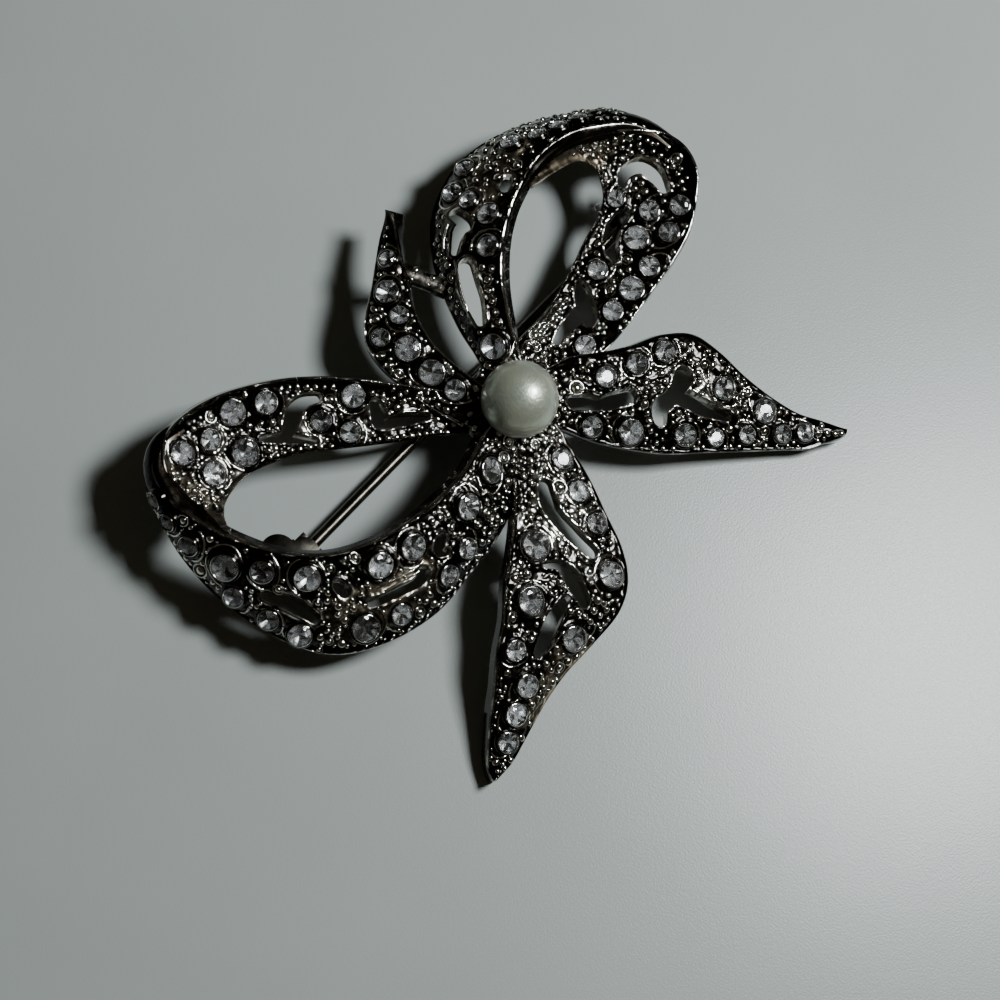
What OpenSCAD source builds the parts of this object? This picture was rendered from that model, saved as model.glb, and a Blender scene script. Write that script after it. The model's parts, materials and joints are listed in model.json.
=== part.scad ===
// Bow brooch: one openwork casting of seven ribbons, its stones, a pearl and a hinged pin.
// Millimetres. The brooch lies on its back at z = 0, face up, with the pin along X.
// The casting is drawn round the knot's middle, and the whole is then centred on the origin.

/* [Bow] */
// Width that the ribbons' places across the bow are shares of
bow_w = 58; // [54:1:62]
// Length that the ribbons' places along the bow are shares of
bow_l = 44; // [41:1:47]
// Height that the ribbons' heights over the table are shares of
bow_h = 9; // [8.6:0.2:10]
// Thickness of the cast ribbons
wall = 1.3; // [1.1:0.05:1.3]
// Height of the raised lip along a ribbon's edges
lip_h = 0.28; // [0.15:0.01:0.4]
// Width of that lip
lip_w = 0.55; // [0.35:0.05:0.7]
// Place of the knot, to the right of the bow's middle
knot_x = 0.8; // [0:0.1:1.5]
// Place of the knot, above the bow's middle
knot_y = 1.6; // [0.5:0.1:2.5]

/* [Knot] */
// Radius of the knot
knot_r = 4.6; // [4.2:0.1:5]
// Height of the knot's top over the table
knot_top = 6; // [5.7:0.1:6.3]
// Thickness of the knot
knot_t = 2.1; // [1.8:0.1:2.4]
// Radius of the granules round the pearl
granule_r = 0.5; // [0.35:0.05:0.6]
// Count of the granules round the pearl
granules = 20; // [16:1:22]

/* [Pearl] */
// Diameter of the pearl
pearl_d = 7; // [6:0.1:7.4]
// Depth that the pearl sits in its dish
pearl_sink = 0.85; // [0.6:0.05:1]
// Gap between the pearl and its dish
pearl_gap = 0.08; // [0.06:0.01:0.1]
// Radius of the peg that the pearl is glued on
peg_r = 0.45; // [0.35:0.05:0.6]
// Height of that peg over the dish
peg_h = 2.6; // [2:0.1:3.2]

/* [Stones] */
// Thickness of a cup's wall round its stone
cup_wall = 0.26; // [0.2:0.02:0.34]
// Height of a cup's rim over the ribbon
cup_h = 0.34; // [0.2:0.02:0.5]
// Depth of the seat in a cup, from its rim
seat_depth = 0.86; // [0.8:0.02:1]
// Gap between a stone and its cup
stone_gap = 0.05; // [0.03:0.01:0.07]
// Height of a stone's table over its girdle
crown_h = 0.3; // [0.2:0.02:0.36]
// Depth of a stone under its girdle
pavilion_h = 0.42; // [0.3:0.02:0.46]

/* [Pin] */
// Radius of the pin's stem
stem_r = 0.55; // [0.49:0.02:0.57]
// Radius of the stem's thicker end at the hinge, from which its root tapers
root_r = 0.6; // [0.56:0.02:0.64]
// Length of that tapered root
root_l = 1.8; // [1.6:0.1:2.4]
// Radius that the stem has tapered to behind the catch
neck_r = 0.46; // [0.4:0.02:0.48]
// Length of the stem's tapered point
point_l = 1.6; // [1.2:0.1:2]
// Distance of the pin's line above the knot's middle
pin_y = 4.5; // [4.2:0.1:4.8]
// Height of the hinge's axis over the table
pin_z = 1.4; // [1.3:0.05:1.5]
// Place of the hinge's axis, to the left of the knot's middle
hinge_x = 22.4; // [22.2:0.1:22.8]
// Place of the catch, to the right of the knot's middle
catch_x = 23.2; // [23:0.1:23.6]
// Radius of the hinge's rivet
rivet_r = 0.35; // [0.3:0.01:0.4]
// Length of the catch along the pin
catch_l = 2.2; // [1.8:0.1:2.6]
// Gap between what turns and what it turns on
running_gap = 0.05; // [0.03:0.01:0.08]
// Radius of the eye at the stem's end
eye_r = 0.95; // [0.85:0.05:1.1]
// Width of the eye
eye_w = 1.4; // [1.3:0.1:1.6]
// Thickness of the hinge's ears and of the catch's cheeks
ear_t = 0.6; // [0.5:0.05:0.8]
// Height of the findings' top face over the table
finding_top = 3; // [2.8:0.1:3.2]
// Thickness of the findings' plates
plate_t = 0.5; // [0.4:0.05:0.6]
// Radius of the posts that hold the findings
post_r = 1.5; // [1.3:0.1:1.7]
// Distance of the hinge's post beyond the hinge's axis
post_back = 3.2; // [3:0.1:3.4]
// Radius of the round base that the hinge is stamped from
base_r = 1.7; // [1.5:0.1:1.8]
// Distance of that base's middle beyond the hinge's axis
base_back = 1.7; // [1.5:0.1:2]
// Distance of that base's middle to the side of the pin's line
base_side = 1.6; // [1.4:0.1:1.7]

/* [Hidden] */
// Places are hundredths of bow_w, bow_l and bow_h. A ribbon's rim is its higher or outer edge,
// and its hem the other one. A row is one section across the ribbon.
left_front_rows = [
    // rim x, y, z, hem x, y, z
    [-3.5, 1, 73.5, -4.5, -7.5, 58],
    [-8, 0.5, 82, -10, -13, 55.5],
    [-13.5, -1.5, 89, -16.5, -16, 51],
    [-19.5, -2, 93.5, -23.5, -17, 46.5],
    [-26, -1, 95.5, -32, -17.5, 44.5],
    [-33, 1.5, 95.5, -40.5, -14.5, 43.5],
    [-39, 6, 94.5, -47.5, -8.5, 42],
    [-43.5, 12.5, 93.5, -51.5, 1, 42],
    [-46.5, 20, 92, -53.5, 13.5, 43.5],
    [-48.5, 28, 91, -53, 26, 46.5],
    [-49, 36, 90, -50.5, 37, 51],
    [-47.5, 42, 89, -47.5, 43, 55.5],
    [-44, 44.6, 87.5, -44, 45.6, 66],
    [-40, 44, 85.5, -40, 44.2, 77]
];
left_back_rows = [
    [-47.4, 23.1, 89.5, -46.8, 23.1, 84],
    [-47, 29.5, 89.5, -45.6, 25.7, 75.5],
    [-47.3, 36, 89.3, -44.4, 27, 69],
    [-46.5, 41.6, 89, -43.2, 28, 64.5],
    [-43, 45.5, 88, -41, 28.8, 62],
    [-38.5, 46, 86.5, -38.5, 29, 61],
    [-33.5, 44.5, 85.5, -36, 28.5, 60],
    [-28.5, 41.5, 84.5, -33, 27, 59],
    [-22.5, 36.5, 82, -29, 24.5, 58],
    [-17, 30, 79, -24, 19.5, 56.5],
    [-12, 22.5, 74.5, -17.5, 13, 55.5],
    [-7.5, 15, 71, -12, 8, 54.5],
    [-3.5, 8, 69, -7.5, 3, 54.5],
    [-0.5, 3.5, 66.5, -3.5, -1, 54.5]
];
right_front_rows = [
    [6.5, 5.5, 71, 0.5, 6.5, 55.5],
    [8, 10, 81, 2.5, 12.5, 54.5],
    [10.5, 15.5, 90, 4, 19, 52],
    [13.5, 20.5, 96.5, 6.5, 26.5, 50],
    [17.5, 25, 100, 9.5, 33, 48],
    [21.5, 28, 101, 13.5, 38.5, 46.5],
    [25.5, 30, 102, 18.5, 42, 45.5],
    [30, 31.5, 101, 23.5, 43.5, 45.5],
    [34.5, 31.5, 100, 29.5, 43, 45.5],
    [39, 30, 98, 35.5, 40.5, 46.5],
    [43, 27, 95.5, 41, 36, 50],
    [46.5, 23.5, 93.5, 46, 31, 55.5],
    [48.6, 19.4, 92, 49, 22, 66],
    [49.2, 14.6, 89.5, 49.4, 15, 78]
];
right_back_rows = [
    [26.6, 29.4, 99, 27, 28.9, 94],
    [32, 29.8, 99.5, 32, 28, 84.5],
    [37, 29, 97.5, 36, 27, 75.5],
    [42, 26.2, 94.5, 38.3, 25.4, 69],
    [46.5, 22.4, 93, 39, 22.3, 65.5],
    [50, 17.5, 91, 38, 19.5, 63.5],
    [51, 12, 90, 36.5, 17, 61],
    [49.5, 6.5, 88, 34.5, 15.5, 59],
    [46, 2.5, 84.5, 32, 14.5, 56.5],
    [41.5, -1, 80, 29, 13.5, 54.5],
    [36, -3, 75.5, 25.5, 12, 53.5],
    [30.5, -4, 71, 21.5, 10.5, 53.5],
    [25.5, -5, 68, 17.5, 9.5, 53.5],
    [21, -5.5, 64.5, 13.5, 9, 53.5],
    [17.5, -5.5, 61, 9.5, 9, 53.5],
    [13.5, -4.5, 60.5, 6.5, 8, 55.5],
    [9.5, -2, 60.5, 4, 6, 57.5]
];
small_tail_rows = [
    [-0.5, 3.5, 69, -8, 5.5, 60],
    [-1.5, 10.5, 73.5, -9.5, 13.5, 62],
    [-2, 15.5, 74.5, -10, 20, 62],
    [-2, 20.5, 75.5, -10, 25.5, 62],
    [-1, 25.5, 76.5, -9, 30.5, 62],
    [0.5, 29.5, 78, -6, 34.5, 62],
    [2.5, 33, 78, -2, 37.5, 62],
    [4.5, 37, 76.5, 1.5, 40.5, 62],
    [6.5, 40.5, 74.5, 5, 43.5, 62],
    [8.5, 43.5, 70, 8, 45.5, 61],
    [10, 46, 65.5, 9.7, 46.5, 60]
];
right_tail_rows = [
    [6.5, 1.5, 62, 0.5, -5, 58],
    [12.3, -1, 66, 3.5, -10.5, 54.5],
    [16.6, -5.1, 70, 6, -17, 49],
    [20.9, -8.7, 71, 9.5, -23.5, 43.5],
    [25.8, -11.7, 70, 13.5, -29.5, 38],
    [29.8, -16.2, 64, 18, -34.5, 32],
    [31.5, -22.7, 53, 22, -39, 27],
    [32.2, -30.1, 42, 25.5, -43, 23],
    [33.3, -37, 33, 29, -47, 20],
    [34.9, -43.5, 25.5, 32, -50.5, 17.5],
    [37, -48, 19.5, 35, -52.5, 16],
    [38.5, -51.5, 16, 37, -54, 15],
    [39.3, -53.5, 15, 38.3, -54.5, 15]
];
left_tail_rows = [
    [-1.5, -2.5, 62, 3.5, -8, 60],
    [-5.7, -7, 66, 2, -15, 58],
    [-9.3, -11.1, 69, 0.5, -22, 54.5],
    [-13, -15.2, 71, -1.5, -29, 51],
    [-17.7, -19.7, 71, -3.5, -36, 46.5],
    [-22.3, -23.7, 69, -6.5, -41.5, 42],
    [-26.2, -28.2, 64, -11, -44.5, 38],
    [-30.6, -32.2, 56, -17.5, -45, 33.5],
    [-34.4, -36.6, 46, -23.5, -45, 29],
    [-37.7, -40.1, 34.5, -29, -46, 25],
    [-41.1, -44, 24.5, -35, -48, 20.5],
    [-43, -46.5, 17.5, -39.5, -49.5, 16.5],
    [-44, -48.8, 15, -43.3, -49.7, 15]
];

// A stone's row is its section along the ribbon, its share across from the rim, and its size.
left_front_stones = [
    [1.5, 0.3, "b"], [2.6, 0.3, "b"], [4.2, 0.22, "b"], [4.95, 0.22, "b"], [6.5, 0.22, "b"],
    [7.45, 0.26, "c"], [8.2, 0.42, "a"], [5.4, 0.76, "a"], [6.65, 0.84, "c"], [3, 0.66, "d"],
    [3.6, 0.72, "d"], [4.7, 0.76, "d"], [7.25, 0.8, "d"], [7.9, 0.76, "d"], [9, 0.5, "d"],
    [9.6, 0.46, "e"], [10.15, 0.36, "e"]
];
left_back_stones = [
    [4.2, 0.72, "c"], [3.95, 0.28, "c"], [5.2, 0.42, "d"], [6.1, 0.76, "a"], [6.4, 0.26, "b"],
    [7.4, 0.26, "c"], [8.65, 0.6, "d"], [9.35, 0.26, "c"], [9.25, 0.78, "d"]
];
right_front_stones = [
    [1, 0.46, "b"], [3.85, 0.18, "c"], [4.9, 0.22, "c"], [5.45, 0.5, "e"], [5.85, 0.76, "d"],
    [6.75, 0.76, "d"], [7.7, 0.42, "d"], [8.2, 0.24, "e"], [8.85, 0.2, "e"], [9.6, 0.24, "e"]
];
right_back_stones = [
    [6.55, 0.84, "e"], [7.9, 0.46, "d"], [8.05, 0.16, "d"], [8.95, 0.2, "d"], [9, 0.5, "b"],
    [10.15, 0.22, "d"], [11, 0.24, "b"], [10.3, 0.72, "d"], [11.95, 0.28, "d"], [13.75, 0.26, "d"]
];
small_tail_stones = [
    [0.9, 0.42, "d"], [1.9, 0.42, "b"], [3.2, 0.42, "b"], [4, 0.72, "e"], [4.6, 0.3, "e"],
    [5.7, 0.52, "c"], [7.1, 0.48, "e"]
];
right_tail_stones = [
    [2.15, 0.28, "d"], [3.1, 0.18, "d"], [4, 0.14, "d"], [1.85, 0.84, "d"], [2.95, 0.82, "b"],
    [4.5, 0.84, "c"], [5.45, 0.86, "e"], [6.6, 0.8, "e"], [5.9, 0.38, "c"], [7.45, 0.4, "c"],
    [8, 0.7, "e"], [8.95, 0.56, "e"]
];
left_tail_stones = [
    [1.3, 0.7, "d"], [2.35, 0.74, "d"], [3.3, 0.82, "d"], [3.9, 0.2, "a"], [4.8, 0.84, "b"],
    [5.5, 0.2, "a"], [6.7, 0.7, "b"], [6.9, 0.16, "d"], [8.05, 0.4, "c"], [9.05, 0.4, "c"],
    [9.9, 0.4, "d"]
];

// A window is a channel through round spots. A spot's row is its section, share across and radius.
left_front_windows = [
    [[5.85, 0.3, 0.55], [5.75, 0.36, 0.6]],
    [[4.1, 0.5, 0.5], [4.25, 0.56, 0.45], [4.95, 0.54, 0.4], [5.25, 0.54, 0.35]],
    [[3.5, 0.34, 0.45], [3.65, 0.42, 0.55], [3.5, 0.5, 0.35]],
    [[7.35, 0.52, 0.35], [6.75, 0.52, 0.65], [6.35, 0.62, 0.45]]
];
left_back_windows = [
    [[8.6, 0.28, 0.45], [8.3, 0.32, 0.6], [8.05, 0.46, 0.75], [7.8, 0.7, 0.6]],
    [[7, 0.68, 0.3], [7.7, 0.76, 0.45], [8.5, 0.86, 0.25]],
    [[9.8, 0.36, 0.5], [9.85, 0.54, 0.75], [9.85, 0.68, 0.5], [10.35, 0.64, 0.55], [10.95, 0.6, 0.3]]
];
right_front_windows = [
    [[5.1, 0.62, 0.6], [4.7, 0.48, 0.65], [4.5, 0.56, 0.5], [3.95, 0.62, 0.3]],
    [[3.5, 0.48, 0.62], [3, 0.48, 0.78], [2.5, 0.46, 0.75], [1.85, 0.48, 0.4]],
    [[6.3, 0.16, 0.4], [5.9, 0.16, 0.45]]
];
right_back_windows = [
    [[5.85, 0.76, 0.4], [5.4, 0.66, 0.6], [5.6, 0.48, 0.75], [6.3, 0.4, 0.8], [7.1, 0.34, 0.5]],
    [[7.65, 0.72, 0.6], [8.3, 0.78, 0.7], [9.2, 0.72, 0.7], [9.75, 0.62, 0.4]],
    [[10.9, 0.82, 0.45], [11.45, 0.7, 0.85], [12.05, 0.56, 0.95], [12.5, 0.44, 0.45]],
    [[12.2, 0.62, 0.8], [13.05, 0.64, 0.5], [13.7, 0.6, 0.35]]
];
right_tail_windows = [
    [[1.25, 0.6, 0.7], [1.6, 0.58, 0.75], [2.05, 0.57, 0.6], [2.4, 0.53, 0.75], [2.9, 0.48, 0.7]],
    [[4.55, 0.36, 0.95], [4.25, 0.5, 0.75], [3.8, 0.6, 0.8], [3.8, 0.7, 0.65]],
    [[4.2, 0.5, 0.7], [4.7, 0.56, 0.85], [5.15, 0.62, 0.75], [5.9, 0.66, 0.4]]
];
left_tail_windows = [
    [[2.1, 0.36, 0.6], [2.6, 0.36, 0.8], [3, 0.4, 0.75], [3.7, 0.58, 0.75], [4.1, 0.7, 0.65]],
    [[4.45, 0.3, 0.3], [4.5, 0.42, 0.5], [4.95, 0.53, 0.8], [5.6, 0.64, 0.6]],
    [[5.5, 0.48, 0.45], [6.15, 0.41, 0.7], [6.65, 0.41, 0.65], [7.05, 0.4, 0.4]]
];

// A ribbon is its rows, the sections drawn for each row, the swell of its face in mm, its stones
// and its windows.
RIBBONS = [
    [left_front_rows, 2, 0.9, left_front_stones, left_front_windows],
    [left_back_rows, 1, -0.5, left_back_stones, left_back_windows],
    [right_front_rows, 2, 1.1, right_front_stones, right_front_windows],
    [right_back_rows, 1, -0.5, right_back_stones, right_back_windows],
    [small_tail_rows, 1, 0.5, small_tail_stones, []],
    [right_tail_rows, 1, 0.7, right_tail_stones, right_tail_windows],
    [left_tail_rows, 1, 0.7, left_tail_stones, left_tail_windows]
];
ROWS = 0;
STEPS = 1;
SWELL = 2;
STONES = 3;
WINDOWS = 4;

// Radii of the stones, by size
function stone_r(size) =
    size == "a" ? 1.3 : size == "b" ? 1.18 : size == "c" ? 1.05 : size == "d" ? 0.92 : 0.76;
MAIN_SIZES = ["a", "b", "c"];

// Sides of a cup, and facets round a stone
SIDES = 8;
// Share of a stone's radius that its table has
TABLE_SHARE = 0.6;
// Largest share of a ribbon's width that a lip takes
LIP_SHARE = 0.3;

// Every stone: its ribbon, section, share across and size
ALL_STONES = [for (ribbon = RIBBONS) for (stone = ribbon[STONES]) [ribbon, stone]];
function is_main(entry) = len([for (size = MAIN_SIZES) if (size == entry[1][2]) size]) > 0;
MAIN_STONES = [for (entry = ALL_STONES) if (is_main(entry)) entry];
SMALL_STONES = [for (entry = ALL_STONES) if (!is_main(entry)) entry];

MAIN_NAMES = [for (k = [1 : len(MAIN_STONES)]) str("stone_", k)];

// Rows of a table, run on past its ends in a straight line
function row_at(rows, k) =
    k < 0 ? 2 * rows[0] - rows[1]
    : k > len(rows) - 1 ? 2 * rows[len(rows) - 1] - rows[len(rows) - 2]
    : rows[k];

// Smooth row between the table's rows
function smooth_row(rows, s) =
    let (k = min(floor(s), len(rows) - 2), u = s - k)
    let (a = row_at(rows, k - 1), b = rows[k], c = rows[k + 1], d = row_at(rows, k + 2))
    (2 * b + (c - a) * u + (2 * a - 5 * b + 4 * c - d) * u * u
        + (3 * b - a - 3 * c + d) * u * u * u) / 2;

function rim_of(row) = [row[0] * bow_w, row[1] * bow_l, row[2] * bow_h] / 100;
function hem_of(row) = [row[3] * bow_w, row[4] * bow_l, row[5] * bow_h] / 100;
function unit(v) = v / norm(v);

// Direction along a ribbon at one section, a share across from its rim
function along(rows, s, share) =
    let (before = smooth_row(rows, max(s - 0.05, 0)))
    let (after = smooth_row(rows, min(s + 0.05, len(rows) - 1)))
    (rim_of(after) - rim_of(before)) * (1 - share) + (hem_of(after) - hem_of(before)) * share;

// Normal of a ribbon's face, which always looks up
function face_normal(ribbon, s, share) =
    let (row = smooth_row(ribbon[ROWS], s))
    let (n = unit(cross(along(ribbon[ROWS], s, share), hem_of(row) - rim_of(row))))
    n.z < 0 ? -n : n;

// Point of a ribbon's face, a share across from its rim
function face_point(ribbon, s, share) =
    let (row = smooth_row(ribbon[ROWS], s))
    rim_of(row) * (1 - share) + hem_of(row) * share
        + face_normal(ribbon, s, share) * ribbon[SWELL] * 4 * share * (1 - share);

// Outline of one section: the lipped face from rim to hem, then the plain back
function section(ribbon, s) =
    let (row = smooth_row(ribbon[ROWS], s), width = norm(hem_of(row) - rim_of(row)))
    let (lip = min(lip_w / width, LIP_SHARE))
    [
        for (p = [
            [0, lip_h], [lip, 0], [0.35, 0], [0.65, 0], [1 - lip, 0], [1, lip_h],
            [1, -wall], [0.5, -wall], [0, -wall]
        ])
            face_point(ribbon, s, p[0]) + face_normal(ribbon, s, p[0]) * p[1]
    ];

SECTION_POINTS = 9;
// Triangles that close an end of a ribbon
CAP = [[8, 0, 1], [8, 1, 2], [8, 2, 7], [7, 2, 3], [7, 3, 6], [6, 3, 4], [6, 4, 5]];

// One plain ribbon, swept through its table
module ribbon_band(ribbon) {
    count = (len(ribbon[ROWS]) - 1) * ribbon[STEPS];
    rings = [for (k = [0 : count]) section(ribbon, k / ribbon[STEPS])];
    n = SECTION_POINTS;
    sides = [
        for (k = [0 : count - 1]) for (j = [0 : n - 1])
            let (a = k * n + j, b = k * n + (j + 1) % n)
            each [[a, b, a + n], [b, b + n, a + n]]
    ];
    start = [for (t = CAP) [t[2], t[1], t[0]]];
    end = [for (t = CAP) [t[0] + count * n, t[1] + count * n, t[2] + count * n]];
    faces = concat(sides, start, end);
    points = [for (ring = rings) each ring];
    first = rings[0];
    turn = cross(first[5] - first[0], rings[1][0] - first[0]) * face_normal(ribbon, 0, 0.5);
    polyhedron(points, turn > 0 ? [for (f = faces) [f[2], f[1], f[0]]] : faces, convexity = 6);
}

// Moves a shape onto a ribbon's face, with its Z along the face's normal
module on_face(ribbon, s, share) {
    n = face_normal(ribbon, s, share);
    translate(face_point(ribbon, s, share))
        rotate([0, acos(n.z), atan2(n.y, n.x)])
            children();
}

// One pierced window: a channel cut straight down through round spots
module window(ribbon, spots) {
    linear_extrude(height = bow_h * 1.3)
        for (k = [0 : len(spots) - 2])
            hull()
                for (spot = [spots[k], spots[k + 1]])
                    let (p = face_point(ribbon, spot[0], spot[1]))
                    translate([p.x, p.y])
                        circle(r = spot[2], $fn = SIDES);
}

// Outside of a stone's cup, rising out of the ribbon
module cup(r) {
    outer = r + stone_gap + cup_wall;
    translate([0, 0, cup_h - seat_depth - cup_wall])
        cylinder(r1 = outer * 0.9, r2 = outer, h = seat_depth + cup_wall, $fn = SIDES);
}

// Seat cut into a cup for its stone
module seat(r) {
    translate([0, 0, cup_h - seat_depth])
        cylinder(r = r + stone_gap, h = seat_depth + 1, $fn = SIDES);
}

// A cut stone: a table, a crown of facets and a pointed pavilion
module cut_stone(r) {
    girdle = [for (k = [0 : SIDES - 1]) [r * cos(360 * k / SIDES), r * sin(360 * k / SIDES), 0]];
    table = [for (p = girdle) p * TABLE_SHARE + [0, 0, crown_h]];
    points = concat(girdle, table, [[0, 0, -pavilion_h]]);
    faces = concat(
        [[for (k = [0 : SIDES - 1]) 2 * SIDES - 1 - k]],
        [for (k = [0 : SIDES - 1]) let (m = (k + 1) % SIDES) [k, k + SIDES, m + SIDES, m]],
        [for (k = [0 : SIDES - 1]) [k, (k + 1) % SIDES, 2 * SIDES]]
    );
    translate([0, 0, cup_h - crown_h / 2])
        polyhedron(points, faces);
}

// Places a shape for one stone's entry
module at_stone(entry) {
    on_face(entry[0], entry[1][0], entry[1][1])
        children();
}

// Domed knot under the pearl
module knot_body() {
    chamfer = 0.7;
    translate([0, 0, knot_top - knot_t]) {
        cylinder(r1 = knot_r - chamfer, r2 = knot_r, h = knot_t / 2, $fn = 24);
        translate([0, 0, knot_t / 2])
            cylinder(r1 = knot_r, r2 = knot_r - chamfer, h = knot_t / 2, $fn = 24);
    }
}

// Ring of cast granules round the pearl
module knot_granules() {
    ring_r = knot_r - granule_r;
    for (k = [0 : granules - 1])
        rotate([0, 0, 360 * k / granules])
            translate([ring_r, 0, knot_top - granule_r])
                cylinder(r1 = granule_r * 1.1, r2 = granule_r * 0.5, h = granule_r * 1.7, $fn = 5);
}

// Dish that the pearl sits in
module pearl_dish() {
    translate([0, 0, pearl_z])
        sphere(r = pearl_d / 2 + pearl_gap, $fn = 24);
}

// Middle of the pearl over the table
pearl_z = knot_top + pearl_d / 2 - pearl_sink;

// Cast bar that ties the small tail to the right loop
module tie_bar() {
    from = face_point(RIBBONS[4], 6.6, 0.1);
    to = face_point(RIBBONS[2], 3.2, 0.9);
    hull()
        for (p = [from, to])
            translate(p - [0, 0, wall])
                cylinder(r = 1.05, h = wall, $fn = SIDES);
}

// Post cast on the back for a finding, up into the ribbon over it
module post(x, y, top) {
    translate([x, y, finding_top])
        cylinder(r1 = post_r, r2 = post_r * 0.8, h = top - finding_top, $fn = 16);
}

// Middle of the hinge's post, to the left of the knot's middle
hinge_post_x = hinge_x + post_back;
// Height of each post's top over the table, as a share of bow_h
HINGE_POST_SHARE = 0.78;
CATCH_POST_SHARE = 0.6;

// The openwork casting, with its cups, posts and peg
module bow_casting() {
    color("dimgray")
        difference() {
            union() {
                difference() {
                    union() {
                        difference() {
                            union() {
                                for (ribbon = RIBBONS)
                                    ribbon_band(ribbon);
                                tie_bar();
                            }
                            for (ribbon = RIBBONS)
                                for (spots = ribbon[WINDOWS])
                                    window(ribbon, spots);
                        }
                        knot_body();
                        knot_granules();
                        for (entry = ALL_STONES)
                            at_stone(entry)
                                cup(stone_r(entry[1][2]));
                    }
                    pearl_dish();
                }
                translate([0, 0, knot_top - pearl_sink - 0.4])
                    cylinder(r = peg_r, h = peg_h, $fn = 16);
                post(-hinge_post_x, pin_y, bow_h * HINGE_POST_SHARE);
                post(catch_x, pin_y, bow_h * CATCH_POST_SHARE);
            }
            for (entry = ALL_STONES)
                at_stone(entry)
                    seat(stone_r(entry[1][2]));
        }
}

// The half-drilled pearl
module pearl() {
    color("ivory")
        difference() {
            translate([0, 0, pearl_z])
                sphere(d = pearl_d, $fn = 64);
            translate([0, 0, pearl_z - pearl_d])
                cylinder(r = peg_r + stone_gap, h = pearl_d / 2 + peg_h + stone_gap, $fn = 32);
        }
}

// A main stone
module main_stone(k) {
    color("lightcyan")
        at_stone(MAIN_STONES[k])
            cut_stone(stone_r(MAIN_STONES[k][1][2]));
}

// The small stones, each loose in its own cup
module small_stones() {
    color("white")
        for (entry = SMALL_STONES)
            at_stone(entry)
                cut_stone(stone_r(entry[1][2]));
}

// Bore along Y through the hinge's axis
module hinge_bore(r) {
    translate([-hinge_x, pin_y, pin_z])
        rotate([90, 0, 0])
            cylinder(r = r, h = 10, center = true, $fn = 32);
}

// Half of the width between the hinge's ears
ear_gap = eye_w / 2 + running_gap;

// Hinge finding: a plate under the post, with a round base, and two ears for the rivet
module pin_hinge() {
    color("silver")
        difference() {
            union() {
                translate([-hinge_post_x, pin_y, finding_top - plate_t])
                    cylinder(r = post_r, h = plate_t, $fn = 32);
                translate([-hinge_x - base_back, pin_y + base_side, finding_top - plate_t])
                    cylinder(r = base_r, h = plate_t, $fn = 32);
                translate([-hinge_x, pin_y, finding_top - plate_t])
                    cylinder(r = ear_gap + ear_t, h = plate_t, $fn = 32);
                translate([-hinge_post_x, pin_y - ear_gap - ear_t, finding_top - plate_t])
                    cube([hinge_post_x - hinge_x, 2 * (ear_gap + ear_t), plate_t]);
                for (side = [-1, 1])
                    translate([-hinge_x, pin_y + side * (ear_gap + ear_t / 2), 0]) {
                        translate([0, 0, pin_z])
                            rotate([90, 0, 0])
                                cylinder(r = pin_z, h = ear_t, center = true, $fn = 48);
                        translate([-pin_z, -ear_t / 2, pin_z])
                            cube([2 * pin_z, ear_t, finding_top - plate_t - pin_z]);
                    }
            }
            hinge_bore(rivet_r + 0.02);
        }
}

// Rivet through the ears, with a head at each end
module hinge_rivet() {
    head_t = 0.25;
    reach = ear_gap + ear_t + 0.02;
    color("darkgray")
        translate([-hinge_x, pin_y, pin_z])
            rotate([90, 0, 0]) {
                cylinder(r = rivet_r, h = 2 * reach, center = true, $fn = 32);
                for (side = [-1, 1])
                    translate([0, 0, side * (reach + head_t / 2)])
                        cylinder(r = rivet_r * 1.7, h = head_t, center = true, $fn = 32);
            }
}

// Ends of the stem's tapered neck in the catch, from the hinge's axis
NECK_MARGIN = 0.3;
neck_start = hinge_x + catch_x - catch_l / 2 - NECK_MARGIN;
neck_end = hinge_x + catch_x + catch_l / 2 + NECK_MARGIN;

// One length of the stem, from one distance from the hinge's axis to another
module stem_length(from, to, r1, r2) {
    translate([from, 0, 0])
        rotate([0, 90, 0])
            cylinder(r1 = r1, r2 = r2, h = to - from, $fn = 32);
}

// The pin: an eye on the rivet, then the stem with its tapered root, neck and point
module pin_stem() {
    color("silver")
        difference() {
            translate([-hinge_x, pin_y, pin_z]) {
                rotate([90, 0, 0])
                    cylinder(r = eye_r, h = eye_w, center = true, $fn = 48);
                stem_length(0, root_l, root_r, stem_r);
                stem_length(root_l, neck_start, stem_r, stem_r);
                stem_length(neck_start, neck_end, stem_r, neck_r);
                stem_length(neck_end, neck_end + point_l, neck_r, neck_r * 0.2);
            }
            hinge_bore(rivet_r + running_gap);
        }
}

// The catch: a plate under its post and a channel, open below, that the stem snaps into
module pin_catch() {
    slot = 2 * (stem_r + running_gap);
    color("silver")
        difference() {
            union() {
                translate([catch_x, pin_y, finding_top - plate_t])
                    cylinder(r = post_r, h = plate_t, $fn = 32);
                translate([catch_x - catch_l / 2, pin_y - slot / 2 - ear_t, 0])
                    cube([catch_l, slot + 2 * ear_t, finding_top - plate_t]);
            }
            translate([catch_x - catch_l, pin_y - slot / 2, -1])
                cube([2 * catch_l, slot, 1 + pin_z]);
            translate([catch_x, pin_y, pin_z])
                rotate([0, 90, 0])
                    cylinder(d = slot, h = 2 * catch_l, center = true, $fn = 32);
        }
}

// Brings the knot-centred drawing to the origin
module centred() {
    translate([knot_x, knot_y, 0])
        children();
}

centred() bow_casting();
centred() pearl();
centred() small_stones();
centred() pin_hinge();
centred() hinge_rivet();
centred() pin_stem();
centred() pin_catch();
for (k = [0 : len(MAIN_STONES) - 1])
    centred() main_stone(k);
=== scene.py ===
"""Looks of the bow brooch: an openwork bow in antiqued metal, with cut stones, a pearl and a hinged pin.

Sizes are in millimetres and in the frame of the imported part, and turned into metres where a mesh is made.
The tables repeat the ones that the part's source is built from, and add the fine relief of the casting.
"""

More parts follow.
